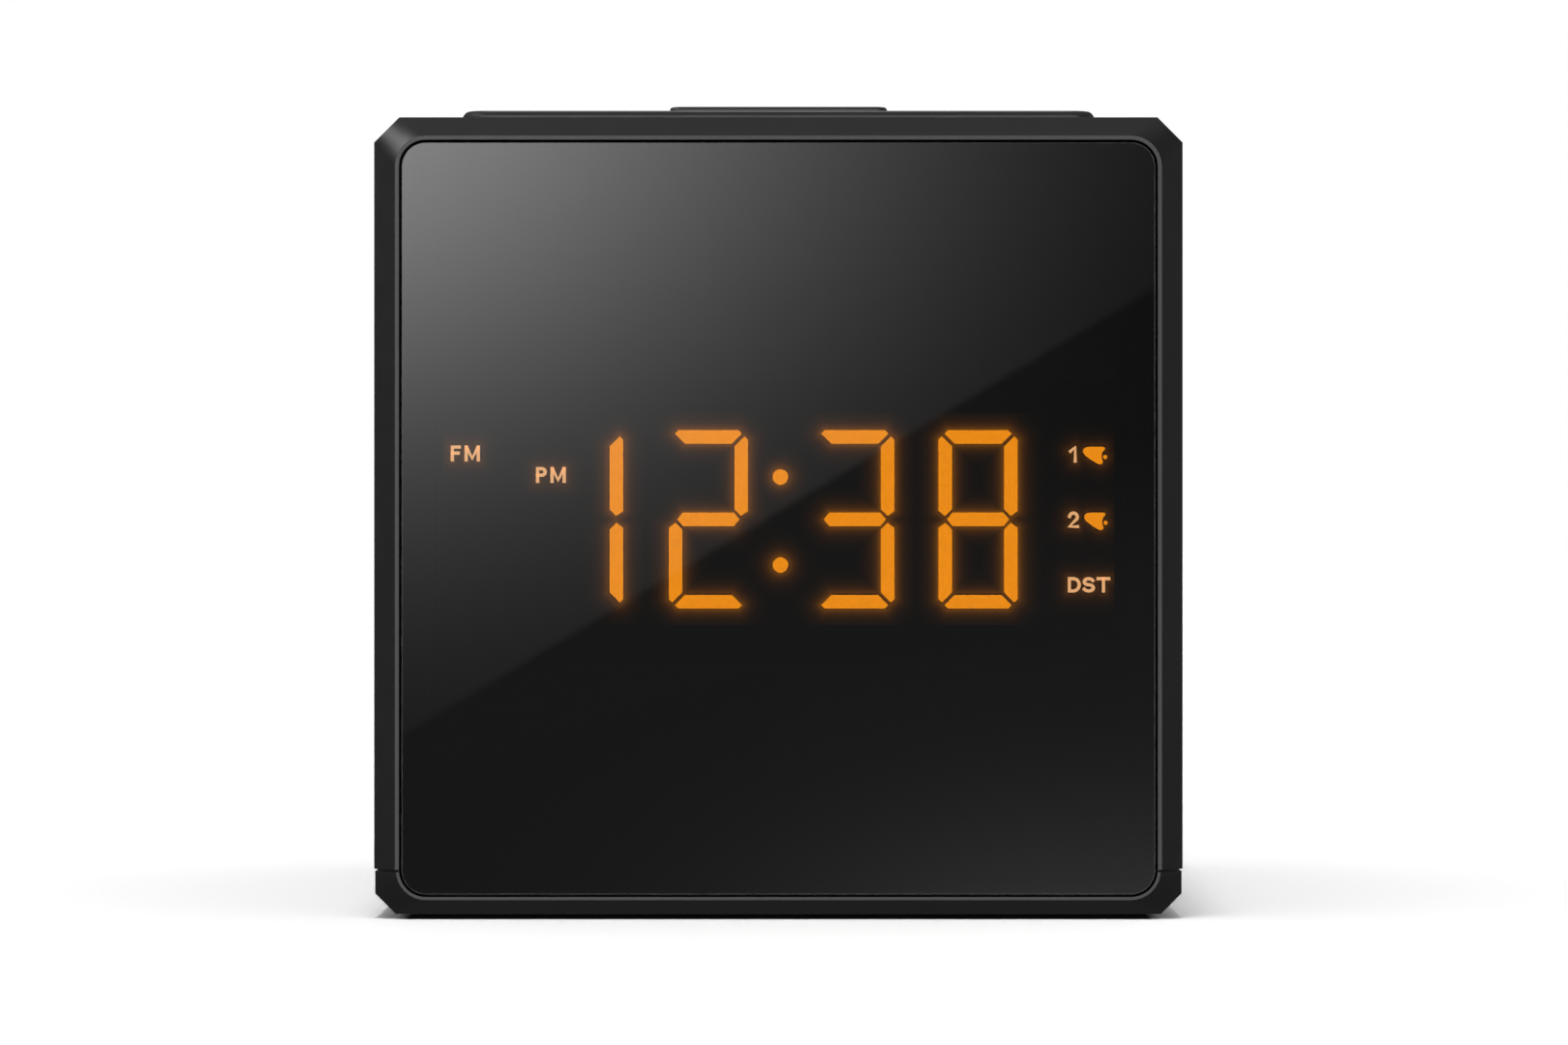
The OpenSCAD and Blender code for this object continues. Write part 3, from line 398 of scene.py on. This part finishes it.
def turns_between(start, stop, steps):
    """Evenly spaced angles in radians, between two angles in degrees."""
    return [math.radians(start + (stop - start) * i / steps) for i in range(steps + 1)]


def bow(middle, across, up, start, stop):
    """Points on an ellipse, between two angles in degrees."""
    return [
        (middle[0] + across * math.cos(turn), middle[1] + up * math.sin(turn))
        for turn in turns_between(start, stop, BOW_STEPS)
    ]


# A tilted bell's outline and its clapper in a unit square
CLAPPER = (0.94, 0.42)
CLAPPER_RADIUS = 0.09
BELL = (
    (0.0, 0.70), (0.02, 0.86), (0.12, 0.97), (0.28, 1.0), (0.84, 1.0), (0.93, 0.96), (0.93, 0.86),
    (0.83, 0.70), (0.79, 0.52), (0.80, 0.34), (0.85, 0.16), (0.82, 0.04), (0.72, 0.0), (0.60, 0.05),
    (0.34, 0.26), (0.10, 0.50),
)
# Width of each letter and its lines, for a height of one
GLYPHS = {
    "F": (0.55, [[(0, 0), (0, 1), (0.55, 1)], [(0, 0.52), (0.46, 0.52)]]),
    "M": (0.96, [[(0, 0), (0, 1)], [(0.05, 0.97), (0.48, 0.1), (0.91, 0.97)], [(0.96, 0), (0.96, 1)]]),
    "P": (0.6, [[(0, 0), (0, 1), (0.33, 1), *bow((0.33, 0.74), 0.27, 0.26, 80, -80), (0, 0.48)]]),
    "1": (0.34, [[(0.0, 0.72), (0.34, 1.0), (0.34, 0.0)]]),
    "2": (0.6, [[*bow((0.3, 0.7), 0.29, 0.3, 170, -25), (0.0, 0.0), (0.6, 0.0)]]),
    "D": (0.8, [[(0, 0), (0, 1), (0.32, 1), *bow((0.32, 0.5), 0.48, 0.5, 80, -80), (0.32, 0), (0, 0)]]),
    "S": (0.78, [[*bow((0.39, 0.75), 0.36, 0.25, 25, 255), *bow((0.39, 0.25), 0.39, 0.25, 75, -155)]]),
    "T": (0.86, [[(0, 1), (0.86, 1)], [(0.43, 0), (0.43, 1)]]),
}
# Thickness of the prints, and of the lit legends, which stand in front of the display
PRINT_THICK = 0.03 * MM
LEGEND_THICK = 0.05 * MM
LEGEND_Y = -49.86 * MM
# Text of each display legend, its box (left, bottom and height), the width of its strokes and the gap
# between its letters, in millimetres
LEGENDS = (
    ("FM", (-40.95, 57.1, 2.0), 0.42, 0.44),
    ("PM", (-30.3, 54.4, 2.0), 0.42, 0.44),
    ("1", (36.3, 56.95, 2.1), 0.41, 0),
    ("2", (36.15, 48.75, 2.1), 0.41, 0),
    ("DST", (36.15, 40.7, 1.95), 0.41, 0.17),
)
BELLS = ((38.05, 56.72, 2.95, 2.2), (38.2, 48.5, 2.85, 2.2))
# The black print on the back of the window, in millimetres: half width, bottom and top, outside and
# at its opening
MASK_OUTSIDE = (46.0, 4.0, 98.5)
MASK_OPENING = (42.5, 36.6, 63.2)
MASK_Y = -50.3 * MM
# The sheet over the display that carries the painted halo: half width and the size of its squares, in
# millimetres
PAINTED_HALO_X = 43.2
PAINTED_HALO_PITCH = 0.24
PAINTED_HALO_THICK = 0.02 * MM
PAINTED_HALO_Y = -49.8 * MM
# Strength and reach, in millimetres, of the bright and the faint part of the painted halo, and where it
# starts
GLOW_NEAR = (0.07, 0.22)
GLOW_FAR = (0.06, 0.7)
GLOW_START = 0.11
# Share of the painted halo around the lit legends
LEGEND_HALO = 0.4
# Size of the patches that the painted halo drifts in, the values of their noise that count, and the
# halo's share there
HAZE_PATCH = 1.5 * MM
HAZE_NOISE = (0.2, 0.8)
HAZE_SHARE = (0.9, 1.1)
# Top of the keys, and the gap under the signs on them, as a share of the prints' thickness
KEY_TOP = 101.4 * MM
SIGN_GAP = 0.1
# Width of the lines in the keys' signs
SIGN_WEIGHT = 0.4
# Least cosine used at a mitred corner, which keeps a sharp corner from reaching far out
MITRE_LIMIT = 0.75
# A line is closed when its ends are nearer than this
END_GAP = 1e-6
# Distance at which the points of a print are joined
PRINT_WELD = 0.001 * MM
# Degrees between the points of an arc and of a disc
ARC_STEP = 10
DISC_STEP = 15


class Print:
    """Thin raised shapes, drawn flat in (u, v) and then laid on a face of the radio."""

    def __init__(self):
        self.mesh = bmesh.new()

    def outline(self, points):
        """A closed flat outline, given a unit of thickness."""
        low = [self.mesh.verts.new((u, v, 0)) for u, v in points]
        high = [self.mesh.verts.new((u, v, 1)) for u, v in points]
        caps = [self.mesh.faces.new(low[::-1]), self.mesh.faces.new(high)]
        for i, j in zip(range(len(points)), [*range(1, len(points)), 0]):
            self.mesh.faces.new((low[i], low[j], high[j], high[i]))
        for cap in caps:
            cap.normal_update()
        bmesh.ops.triangulate(self.mesh, faces=caps)

    def bar(self, u0, v0, u1, v1):
        self.outline([(u0, v0), (u1, v0), (u1, v1), (u0, v1)])

    def arc(self, centre, inner, outer, start=0, stop=360):
        """A part of a ring, between two angles in degrees."""
        turns = turns_between(start, stop, round((stop - start) / ARC_STEP))
        out = [polar(centre, outer, turn) for turn in turns]
        back = [polar(centre, inner, turn) for turn in turns]
        if stop - start < 360:
            self.outline(out + back[::-1])
            return
        for i, j in zip(range(len(turns)), range(1, len(turns))):
            self.outline([back[i], out[i], out[j], back[j]])

    def disc(self, centre, radius):
        turns = [math.radians(angle) for angle in range(0, 360, DISC_STEP)]
        self.outline([polar(centre, radius, turn) for turn in turns])

    def stroke(self, points, half):
        """A line of even width through the points, with mitred corners and square ends."""
        points = [Vector(p) for p in points]
        closed = (points[0] - points[-1]).length < END_GAP
        if closed:
            points.pop()
        sides = ([], [])
        last = len(points) - 1
        for i, point in enumerate(points):
            before = points[i - 1] if i or closed else point
            after = points[(i + 1) % len(points)] if i < last or closed else point
            into = (point - before).normalized() if before != point else (after - point).normalized()
            out = (after - point).normalized() if after != point else into
            normal = (into + out).normalized().orthogonal()
            reach = half / max(MITRE_LIMIT, normal.dot(out.orthogonal()))
            sides[0].append(point + normal * reach)
            sides[1].append(point - normal * reach)
        spans = list(zip(range(last), range(1, last + 1))) + ([(last, 0)] if closed else [])
        for i, j in spans:
            self.outline([sides[0][i], sides[1][i], sides[1][j], sides[0][j]])

    def letters(self, text, box, weight, gap=0.0):
        """Plain letters and numbers in a box (left, bottom, height), with the strokes' width."""
        left, bottom, height = box
        half = weight / 2
        scale = height - weight
        for letter in text:
            width, strokes = GLYPHS[letter]
            for points in strokes:
                line = square_ends(points, half / scale)
                self.stroke([(left + half + u * scale, bottom + half + v * scale) for u, v in line], half)
            left += width * scale + weight + gap

    def bell(self, box):
        """A plain tilted bell with its clapper."""
        left, bottom, width, height = box
        self.outline([(left + u * width, bottom + v * height) for u, v in BELL])
        u, v = CLAPPER
        self.disc((left + u * width, bottom + v * height), CLAPPER_RADIUS * width)

    def lay(self, name, slot, body, place, material=None):
        """Makes the piece, with place(u, v, w) giving each point's position."""
        for vertex in self.mesh.verts:
            vertex.co = place(*vertex.co)
        bmesh.ops.remove_doubles(self.mesh, verts=self.mesh.verts, dist=PRINT_WELD)
        bmesh.ops.recalc_face_normals(self.mesh, faces=self.mesh.faces)
        data = bpy.data.meshes.new(name)
        self.mesh.to_mesh(data)
        self.mesh.free()
        data.materials.append(MATERIALS[material or slot])
        piece = bpy.data.objects.new(name, data)
        bpy.context.scene.collection.objects.link(piece)
        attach(piece, body)
        return piece


def square_ends(points, more):
    """Makes an open line longer by half its width at both ends."""
    points = [Vector(p) for p in points]
    if points[0] != points[-1]:
        points[0] = points[0] + (points[0] - points[1]).normalized() * more
        points[-1] = points[-1] + (points[-1] - points[-2]).normalized() * more
    return points


def polar(centre, radius, turn):
    return centre[0] + radius * math.cos(turn), centre[1] + radius * math.sin(turn)


def on_front(u, v, w):
    """Lays a print, drawn in millimetres, over the display housing."""
    return Vector((u * MM, LEGEND_Y - w * LEGEND_THICK, v * MM))


def add_legends():
    """The lit words and bells beside the digits."""
    words = Print()
    for text, box, weight, gap in LEGENDS:
        words.letters(text, box, weight, gap)
    bells = Print()
    for box in BELLS:
        bells.bell(box)
    return [
        words.lay("display_letters", "led_amber", "root", on_front, "led_pale"),
        bells.lay("display_bells", "led_amber", "root", on_front),
    ]


def on_window_back(u, v, w):
    """Lays a print, drawn in millimetres, behind the window."""
    return Vector((u * MM, MASK_Y - w * PRINT_THICK, v * MM))


def add_window_mask():
    """The black print on the back of the window, around the display."""
    outer, low, high = MASK_OUTSIDE
    inner, bottom, top = MASK_OPENING
    mask = Print()
    mask.bar(-outer, low, outer, bottom)
    mask.bar(-outer, top, outer, high)
    mask.bar(-outer, bottom, -inner, top)
    mask.bar(inner, bottom, outer, top)
    mask.lay("window_mask", "housing_black", "root", on_window_back)


def search_tree(piece):
    """A tree that finds the distance to a piece."""
    shape = bmesh.new()
    shape.from_mesh(piece.data)
    tree = BVHTree.FromBMesh(shape)
    shape.free()
    return tree


def painted_halo_grid():
    """Points and squares of the flat sheet that carries the painted halo, which is as high as the mask's
    opening.
    """
    bottom, top = MASK_OPENING[1:]
    columns = round(2 * PAINTED_HALO_X / PAINTED_HALO_PITCH)
    rows = round((top - bottom) / PAINTED_HALO_PITCH)
    points = [
        Vector(((i * PAINTED_HALO_PITCH - PAINTED_HALO_X) * MM, PAINTED_HALO_Y, (bottom + k * PAINTED_HALO_PITCH) * MM))
        for k in range(rows + 1)
        for i in range(columns + 1)
    ]
    faces = [
        (a, a + 1, a + columns + 2, a + columns + 1)
        for k in range(rows)
        for a in range(k * (columns + 1), k * (columns + 1) + columns)
    ]
    return points, faces


def halo(gap):
    """Strength of the painted halo at a distance in millimetres from a lit shape."""
    return sum(strength * math.exp(-gap / reach) for strength, reach in (GLOW_NEAR, GLOW_FAR))


def add_painted_halo(lights):
    """A clear sheet over the display with a painted halo: it glows a little around each lit shape."""
    trees = [(search_tree(light), share) for light, share in lights]
    points, faces = painted_halo_grid()
    data = bpy.data.meshes.new("display_painted_halo")
    data.from_pydata(points, [], faces)
    # The painted halo's strength at each point of the sheet
    glow = data.attributes.new("glow", "FLOAT", "POINT")
    for i, point in enumerate(points):
        gaps = [(tree.find_nearest(point)[3] / MM, share) for tree, share in trees]
        spread = max(share * halo(gap) for gap, share in gaps)
        glow.data[i].value = spread if min(gaps)[0] > GLOW_START else 0.0
    data.materials.append(painted_halo_material())
    halo_sheet = bpy.data.objects.new("display_painted_halo", data)
    bpy.context.scene.collection.objects.link(halo_sheet)
    thick = halo_sheet.modifiers.new("thickness", "SOLIDIFY")
    thick.thickness = PAINTED_HALO_THICK
    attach(halo_sheet, "root")


def painted_halo_material():
    """Clear where the sheet has no painted halo, and a soft amber painted glow where it has."""
    material = bpy.data.materials.new("painted_halo_glow")
    material.use_nodes = True
    graph = Graph(material.node_tree)
    share = graph.add("ShaderNodeAttribute", attribute_name="glow").outputs["Fac"]
    where = graph.add("ShaderNodeTexCoord").outputs["Object"]
    haze = graph.ramp(graph.noise(where, HAZE_PATCH, 3), *HAZE_NOISE, *HAZE_SHARE)
    inputs = {
        "Base Color": (0, 0, 0, 1),
        "Roughness": 0.5,
        "Specular IOR Level": 0.0,
        "Emission Color": rgba(AMBER_GLOW),
        "Emission Strength": AMBER_STRENGTH,
        "Alpha": graph.math("MULTIPLY", share, haze),
    }
    shader = graph.add("ShaderNodeBsdfPrincipled", inputs)
    graph.add("ShaderNodeOutputMaterial", {0: shader.outputs[0]})
    return material


def on_keys(u, v, w):
    """Lays a print, drawn in millimetres, on top of the keys."""
    return Vector((u * MM, v * MM, KEY_TOP + (SIGN_GAP + w) * PRINT_THICK))


# Sweep of the moon's outer edge in degrees, the steps of its two edges, and how far the middle of
# the inner edge is moved, in radii
MOON_SWEEP = (60, 300)
MOON_STEPS = (20, 12)
MOON_SHIFT = 0.72


def crescent(centre, radius):
    """The outline of a moon: a wide arc out, and a flatter one back."""
    out = [polar(centre, radius, turn) for turn in turns_between(*MOON_SWEEP, MOON_STEPS[0])]
    middle = (centre[0] + radius * MOON_SHIFT, centre[1])
    inner = math.dist(middle, out[0])
    start, stop = (
        math.degrees(math.atan2(v - middle[1], u - middle[0])) % 360 for u, v in (out[-1], out[0])
    )
    back = turns_between(start, stop, MOON_STEPS[1])[1:-1]
    return out + [polar(middle, inner, turn) for turn in back]


def cross(centre, arm, half):
    """The outline of a plus sign."""
    corners = (
        (half, half), (arm, half), (arm, -half), (half, -half), (half, -arm), (-half, -arm),
        (-half, -half), (-arm, -half), (-arm, half), (-half, half), (-half, arm), (half, arm),
    )
    return [(centre[0] + u, centre[1] + v) for u, v in reversed(corners)]


# Sizes of the signs below, in millimetres, and sweeps in degrees: the radio's dot and waves, the
# ring and bar of the off sign, the moon, the arms of minus and plus, and the clock
DOT_DROP = 0.9
DOT_RADIUS = 0.5
WAVE_RADII = (1.2, 2.1)
WAVE_SWEEP = (40, 140)
OFF_RADIUS = 1.2
OFF_SWEEP = (125, 415)
OFF_BAR = (-0.1, 1.8)
MOON_RADIUS = 1.5
ARM = 1.3
CLOCK_RING = (1.3, 1.65)
# Half widths of the upright and the level hand, and how far they reach
CLOCK_HALVES = (0.17, 0.15)
CLOCK_REACH = (1.0, 0.85)


def draw_radio(sign, u, v):
    """A dot with two waves above it."""
    foot = (u, v - DOT_DROP)
    sign.disc(foot, DOT_RADIUS)
    for radius in WAVE_RADII:
        sign.arc(foot, radius, radius + SIGN_WEIGHT, *WAVE_SWEEP)


def draw_off(sign, u, v):
    """A ring that is open at the top, with a bar in the gap."""
    half = SIGN_WEIGHT / 2
    low, high = OFF_BAR
    sign.arc((u, v), OFF_RADIUS, OFF_RADIUS + SIGN_WEIGHT, *OFF_SWEEP)
    sign.bar(u - half, v + low, u + half, v + high)


def draw_sleep(sign, u, v):
    sign.outline(crescent((u, v), MOON_RADIUS))


def draw_minus(sign, u, v):
    sign.bar(u - ARM, v - SIGN_WEIGHT / 2, u + ARM, v + SIGN_WEIGHT / 2)


def draw_plus(sign, u, v):
    sign.outline(cross((u, v), ARM, SIGN_WEIGHT / 2))


def draw_clock(sign, u, v):
    """A ring with two hands."""
    upright, level = CLOCK_HALVES
    high, wide = CLOCK_REACH
    sign.arc((u, v), *CLOCK_RING)
    sign.bar(u - upright, v - level, u + upright, v + high)
    sign.bar(u + upright, v - level, u + wide, v + level)


# Middle and lower edge of each alarm key's sign, and how far left of the middle its number and its
# bell start, in millimetres
ALARM_SIGNS = {"1": (-24.5, -34.9), "2": (24.5, -34.9)}
NUMBER_LEFT = 3.0
BELL_LEFT = 0.4
BELL_WIDTH = 3.4
ALARM_SIGN_HEIGHT = 2.8
ALARM_SIGN_WEIGHT = 0.42
# Body of each other key, what draws its sign, and the sign's middle in millimetres
SIGNS = (
    ("radio", draw_radio, (-24.5, -20.5)),
    ("off", draw_off, (24.5, -20.5)),
    ("sleep", draw_sleep, (0, -6)),
    ("time_minus", draw_minus, (-22, 18)),
    ("time_plus", draw_plus, (22, 18)),
    ("clock", draw_clock, (0, 18)),
)


def add_key_prints():
    """A small plain sign on each of the eight keys."""
    for number, (u, v) in ALARM_SIGNS.items():
        sign = Print()
        sign.letters(number, (u - NUMBER_LEFT, v, ALARM_SIGN_HEIGHT), ALARM_SIGN_WEIGHT)
        sign.bell((u - BELL_LEFT, v, BELL_WIDTH, ALARM_SIGN_HEIGHT))
        sign.lay(f"alarm_{number}_sign", "white_plastic", f"alarm_{number}", on_keys)
    for body, draw, at in SIGNS:
        sign = Print()
        draw(sign, *at)
        sign.lay(f"{body}_sign", "white_plastic", body, on_keys)


# ------------------------------------------------------------------ light and floor

FLOOR_HALF = 8.0
FLOOR_GAIN = 2.42
# Painted shadow on the floor under the radio: how dark it is, how far inside the radio's outline along
# X and Y it starts, and how far it takes to fade in
PAINTED_SHADOW_GAIN = 0.1
PAINTED_SHADOW_INSET = (4.0 * MM, 0.0)
PAINTED_SHADOW_FADE = 1.5 * MM
# Soft boxes that only reflections see: direction from the object, distance, half size and strength in
# the middle
SOFT_BOXES = (
    ((0, -1, 0.02), 1.3, 1.15, 3.6),
    ((-0.67, -0.31, 0.67), 1.0, 0.4, 5.5),
    ((0, 0.75, 0.66), 1.0, 0.45, 2.4),
    ((0, -0.75, 0.66), 1.0, 0.45, 0.15),
    ((0.75, 0.8, -0.45), 1.2, 0.6, 0.7),
    ((-0.75, 0.8, -0.45), 1.2, 0.6, 0.7),
    ((0, 1, -0.35), 1.2, 0.75, 1.2),
    ((1, 0.3, 0.2), 1.2, 0.5, 0.8),
    ((-1, 0.3, 0.2), 1.2, 0.5, 0.5),
)
# Share of the half size where the glow starts to fade
FADE_START = 0.5
# The lamp above, in the same form, which only matt surfaces see
LAMP = ((-0.024, -0.07, 1), 60, 6.0, 34)
# The room's light: where it starts to fade and has faded, along +Y, and its strength there
ROOM_FADE = (0.2, 0.9, 0.19, 0.05)
# The soft light above: where it starts and is full, along +Z, and its strength there
SKY_FADE = (0.70, 0.95, 0, 0.28)
# The graded card in front of the window, and the plane of the window that mirrors it
CARD_DISTANCE = 500 * MM
CARD_HALF = 120 * MM
WINDOW_Y = -52.7 * MM
# Middle and reach of the card's two glows, as seen in the window from the camera, and their strength
CARD_HIGH = ((-69.2 * MM, 61.9 * MM), (60.5 * MM, 43.3 * MM), 7.0)
CARD_LOW = ((42 * MM, -60 * MM), (40.5 * MM, 22 * MM), 0.67)
# The slanting edge below which the high glow is cut off: its slope, and where it starts and ends
CARD_SLOPE = 0.594
CARD_CUT = (1.0 * MM, 2.6 * MM)
# The card's even light, and how it falls towards its upper right
CARD_RIGHT = (15 * MM, 45 * MM)
CARD_UP = (-8 * MM, 10 * MM)
CARD_EVEN = (0.22, 0.14)


def make_world():
    """White to the camera, and to the object a dim room that is darker behind, with soft light above."""
    world = bpy.data.worlds.new("world")
    bpy.context.scene.world = world
    world.use_nodes = True
    graph = Graph(world.node_tree)
    toward = graph.split(graph.add("ShaderNodeTexCoord").outputs["Generated"])
    sky = graph.ramp(toward[2], *SKY_FADE, smooth=True)
    light = graph.math("ADD", graph.ramp(toward[1], *ROOM_FADE), sky)
    room = graph.add("ShaderNodeBackground", {"Color": (1, 1, 1, 1), "Strength": light})
    white = graph.add("ShaderNodeBackground", {"Color": (1, 1, 1, 1), "Strength": 1.0})
    world.cycles_visibility.transmission = False
    rays = graph.add("ShaderNodeLightPath").outputs["Is Camera Ray"]
    shown = graph.add("ShaderNodeMixShader", {0: rays, 1: room.outputs[0], 2: white.outputs[0]})
    graph.add("ShaderNodeOutputWorld", {0: shown.outputs[0]})


def quad(name, corners):
    """A flat four-sided piece of the stage."""
    mesh = bpy.data.meshes.new(name)
    mesh.from_pydata([Vector(c) for c in corners], [], [(0, 1, 2, 3)])
    piece = bpy.data.objects.new(name, mesh)
    bpy.context.scene.collection.objects.link(piece)
    return piece


def add_floor():
    """A white floor that takes the object's soft shadow, with a painted shadow under the radio, and can't
    be seen from below.
    """
    half = FLOOR_HALF
    floor = quad("floor", [(-half, -half, 0), (half, -half, 0), (half, half, 0), (-half, half, 0)])
    floor.visible_glossy = False
    floor.visible_diffuse = False
    floor.visible_transmission = False
    material = bpy.data.materials.new("floor_white")
    material.use_nodes = True
    graph = Graph(material.node_tree)
    place = graph.split(graph.add("ShaderNodeTexCoord").outputs["Object"])
    # Painted shadow: the floor's gain drops inside the radio's outline
    under = []
    for away, reach, inset in zip(place, cad_box[1], PAINTED_SHADOW_INSET):
        edge = reach - inset
        under.append(graph.ramp(graph.math("ABSOLUTE", away), edge - PAINTED_SHADOW_FADE, edge, 1, 0))
    gain = graph.ramp(graph.math("MULTIPLY", *under), 0, 1, FLOOR_GAIN, PAINTED_SHADOW_GAIN)
    white = graph.add("ShaderNodeBsdfDiffuse", {"Color": gain})
    clear = graph.add("ShaderNodeBsdfTransparent")
    back = graph.add("ShaderNodeNewGeometry").outputs["Backfacing"]
    shader = graph.add("ShaderNodeMixShader", {0: back, 1: white.outputs[0], 2: clear.outputs[0]})
    graph.add("ShaderNodeOutputMaterial", {0: shader.outputs[0]})
    floor.data.materials.append(material)


def emission_material(name, middle, half, strength):
    """A glow that fades into the room's light towards its edge."""
    material = bpy.data.materials.new(name)
    material.use_nodes = True
    graph = Graph(material.node_tree)
    where = graph.add("ShaderNodeTexCoord").outputs["Object"]
    away = graph.add("ShaderNodeVectorMath", {0: where, 1: middle}, operation="DISTANCE").outputs["Value"]
    share = graph.ramp(away, half * FADE_START, half, 1, 0, smooth=True)
    clear = graph.add("ShaderNodeBsdfTransparent").outputs[0]
    glow = graph.add("ShaderNodeEmission", {"Color": (1, 1, 1, 1), "Strength": strength}).outputs[0]
    shader = graph.add("ShaderNodeMixShader", {0: share, 1: clear, 2: glow})
    graph.add("ShaderNodeOutputMaterial", {0: shader.outputs[0]})
    return material


def hide_from_all_but_reflections(card):
    """Leaves a light visible to glossy surfaces alone."""
    card.visible_camera = False
    card.visible_diffuse = False
    card.visible_shadow = False
    card.visible_transmission = False


def add_soft_box(name, direction, distance, half, strength):
    """A square light that faces the middle of the radio."""
    toward = Vector(direction).normalized()
    right = toward.cross((0, 0, 1)).normalized() * half
    up = right.cross(toward).normalized() * half
    at = Vector((0, 0, CAMERA_AT[2])) + toward * distance
    box = quad(name, [at - right - up, at + right - up, at + right + up, at - right + up])
    box.data.materials.append(emission_material(name, at, half, strength))
    return box


def add_lights():
    """The soft boxes that reflections see, and the lamp that matt surfaces see."""
    for i, box in enumerate(SOFT_BOXES):
        hide_from_all_but_reflections(add_soft_box(f"soft_box_{i}", *box))
    lamp = add_soft_box("lamp", *LAMP)
    lamp.visible_camera = False
    lamp.visible_glossy = False
    lamp.visible_transmission = False


def add_card():
    """The graded soft box whose mirror image shows in the window."""
    y = WINDOW_Y - CARD_DISTANCE
    half = CARD_HALF
    low, high = CAMERA_AT[2] - half, CAMERA_AT[2] + half
    card = quad("card", [(-half, y, low), (half, y, low), (half, y, high), (-half, y, high)])
    hide_from_all_but_reflections(card)
    material = bpy.data.materials.new("card_glow")
    material.use_nodes = True
    graph = Graph(material.node_tree)
    place = graph.split(graph.add("ShaderNodeTexCoord").outputs["Object"])
    spread = 1 / (1 + CARD_DISTANCE / (WINDOW_Y - CAMERA_AT[1]))
    across, up = (
        graph.math("MULTIPLY", graph.math("SUBTRACT", place[axis], CAMERA_AT[axis]), spread)
        for axis in (0, 2)
    )
    edge = graph.math("SUBTRACT", up, graph.math("MULTIPLY", across, CARD_SLOPE))
    above = graph.ramp(edge, *CARD_CUT, smooth=True)
    high_glow = graph.math("MULTIPLY", card_glow(graph, across, up, CARD_HIGH), above)
    low_glow = card_glow(graph, across, up, CARD_LOW)
    corner = graph.math("MULTIPLY", graph.ramp(across, *CARD_RIGHT), graph.ramp(up, *CARD_UP))
    even = graph.ramp(corner, 0, 1, *CARD_EVEN)
    total = graph.math("ADD", graph.math("ADD", high_glow, low_glow), even)
    glow = graph.add("ShaderNodeEmission", {"Color": (1, 1, 1, 1), "Strength": total})
    graph.add("ShaderNodeOutputMaterial", {0: glow.outputs[0]})
    card.data.materials.append(material)


def card_glow(graph, across, up, glow):
    """A bell-shaped glow around its middle."""
    middle, reach, strength = glow
    total = 0.0
    for place, at, size in zip((across, up), middle, reach):
        offset = graph.math("DIVIDE", graph.math("SUBTRACT", place, at), size)
        total = graph.math("ADD", total, graph.math("MULTIPLY", offset, offset))
    share = graph.math("EXPONENT", graph.math("MULTIPLY", total, -1.0))
    return graph.math("MULTIPLY", share, strength)


add_camera()
make_materials()
dress_nodes()
add_window_mask()
legends = add_legends()
add_painted_halo([(frame["nodes"]["lit_segments"], 1.0), *((piece, LEGEND_HALO) for piece in legends)])
add_key_prints()
make_world()
add_floor()
add_card()
add_lights()
bpy.context.scene.view_settings.view_transform = "Standard"
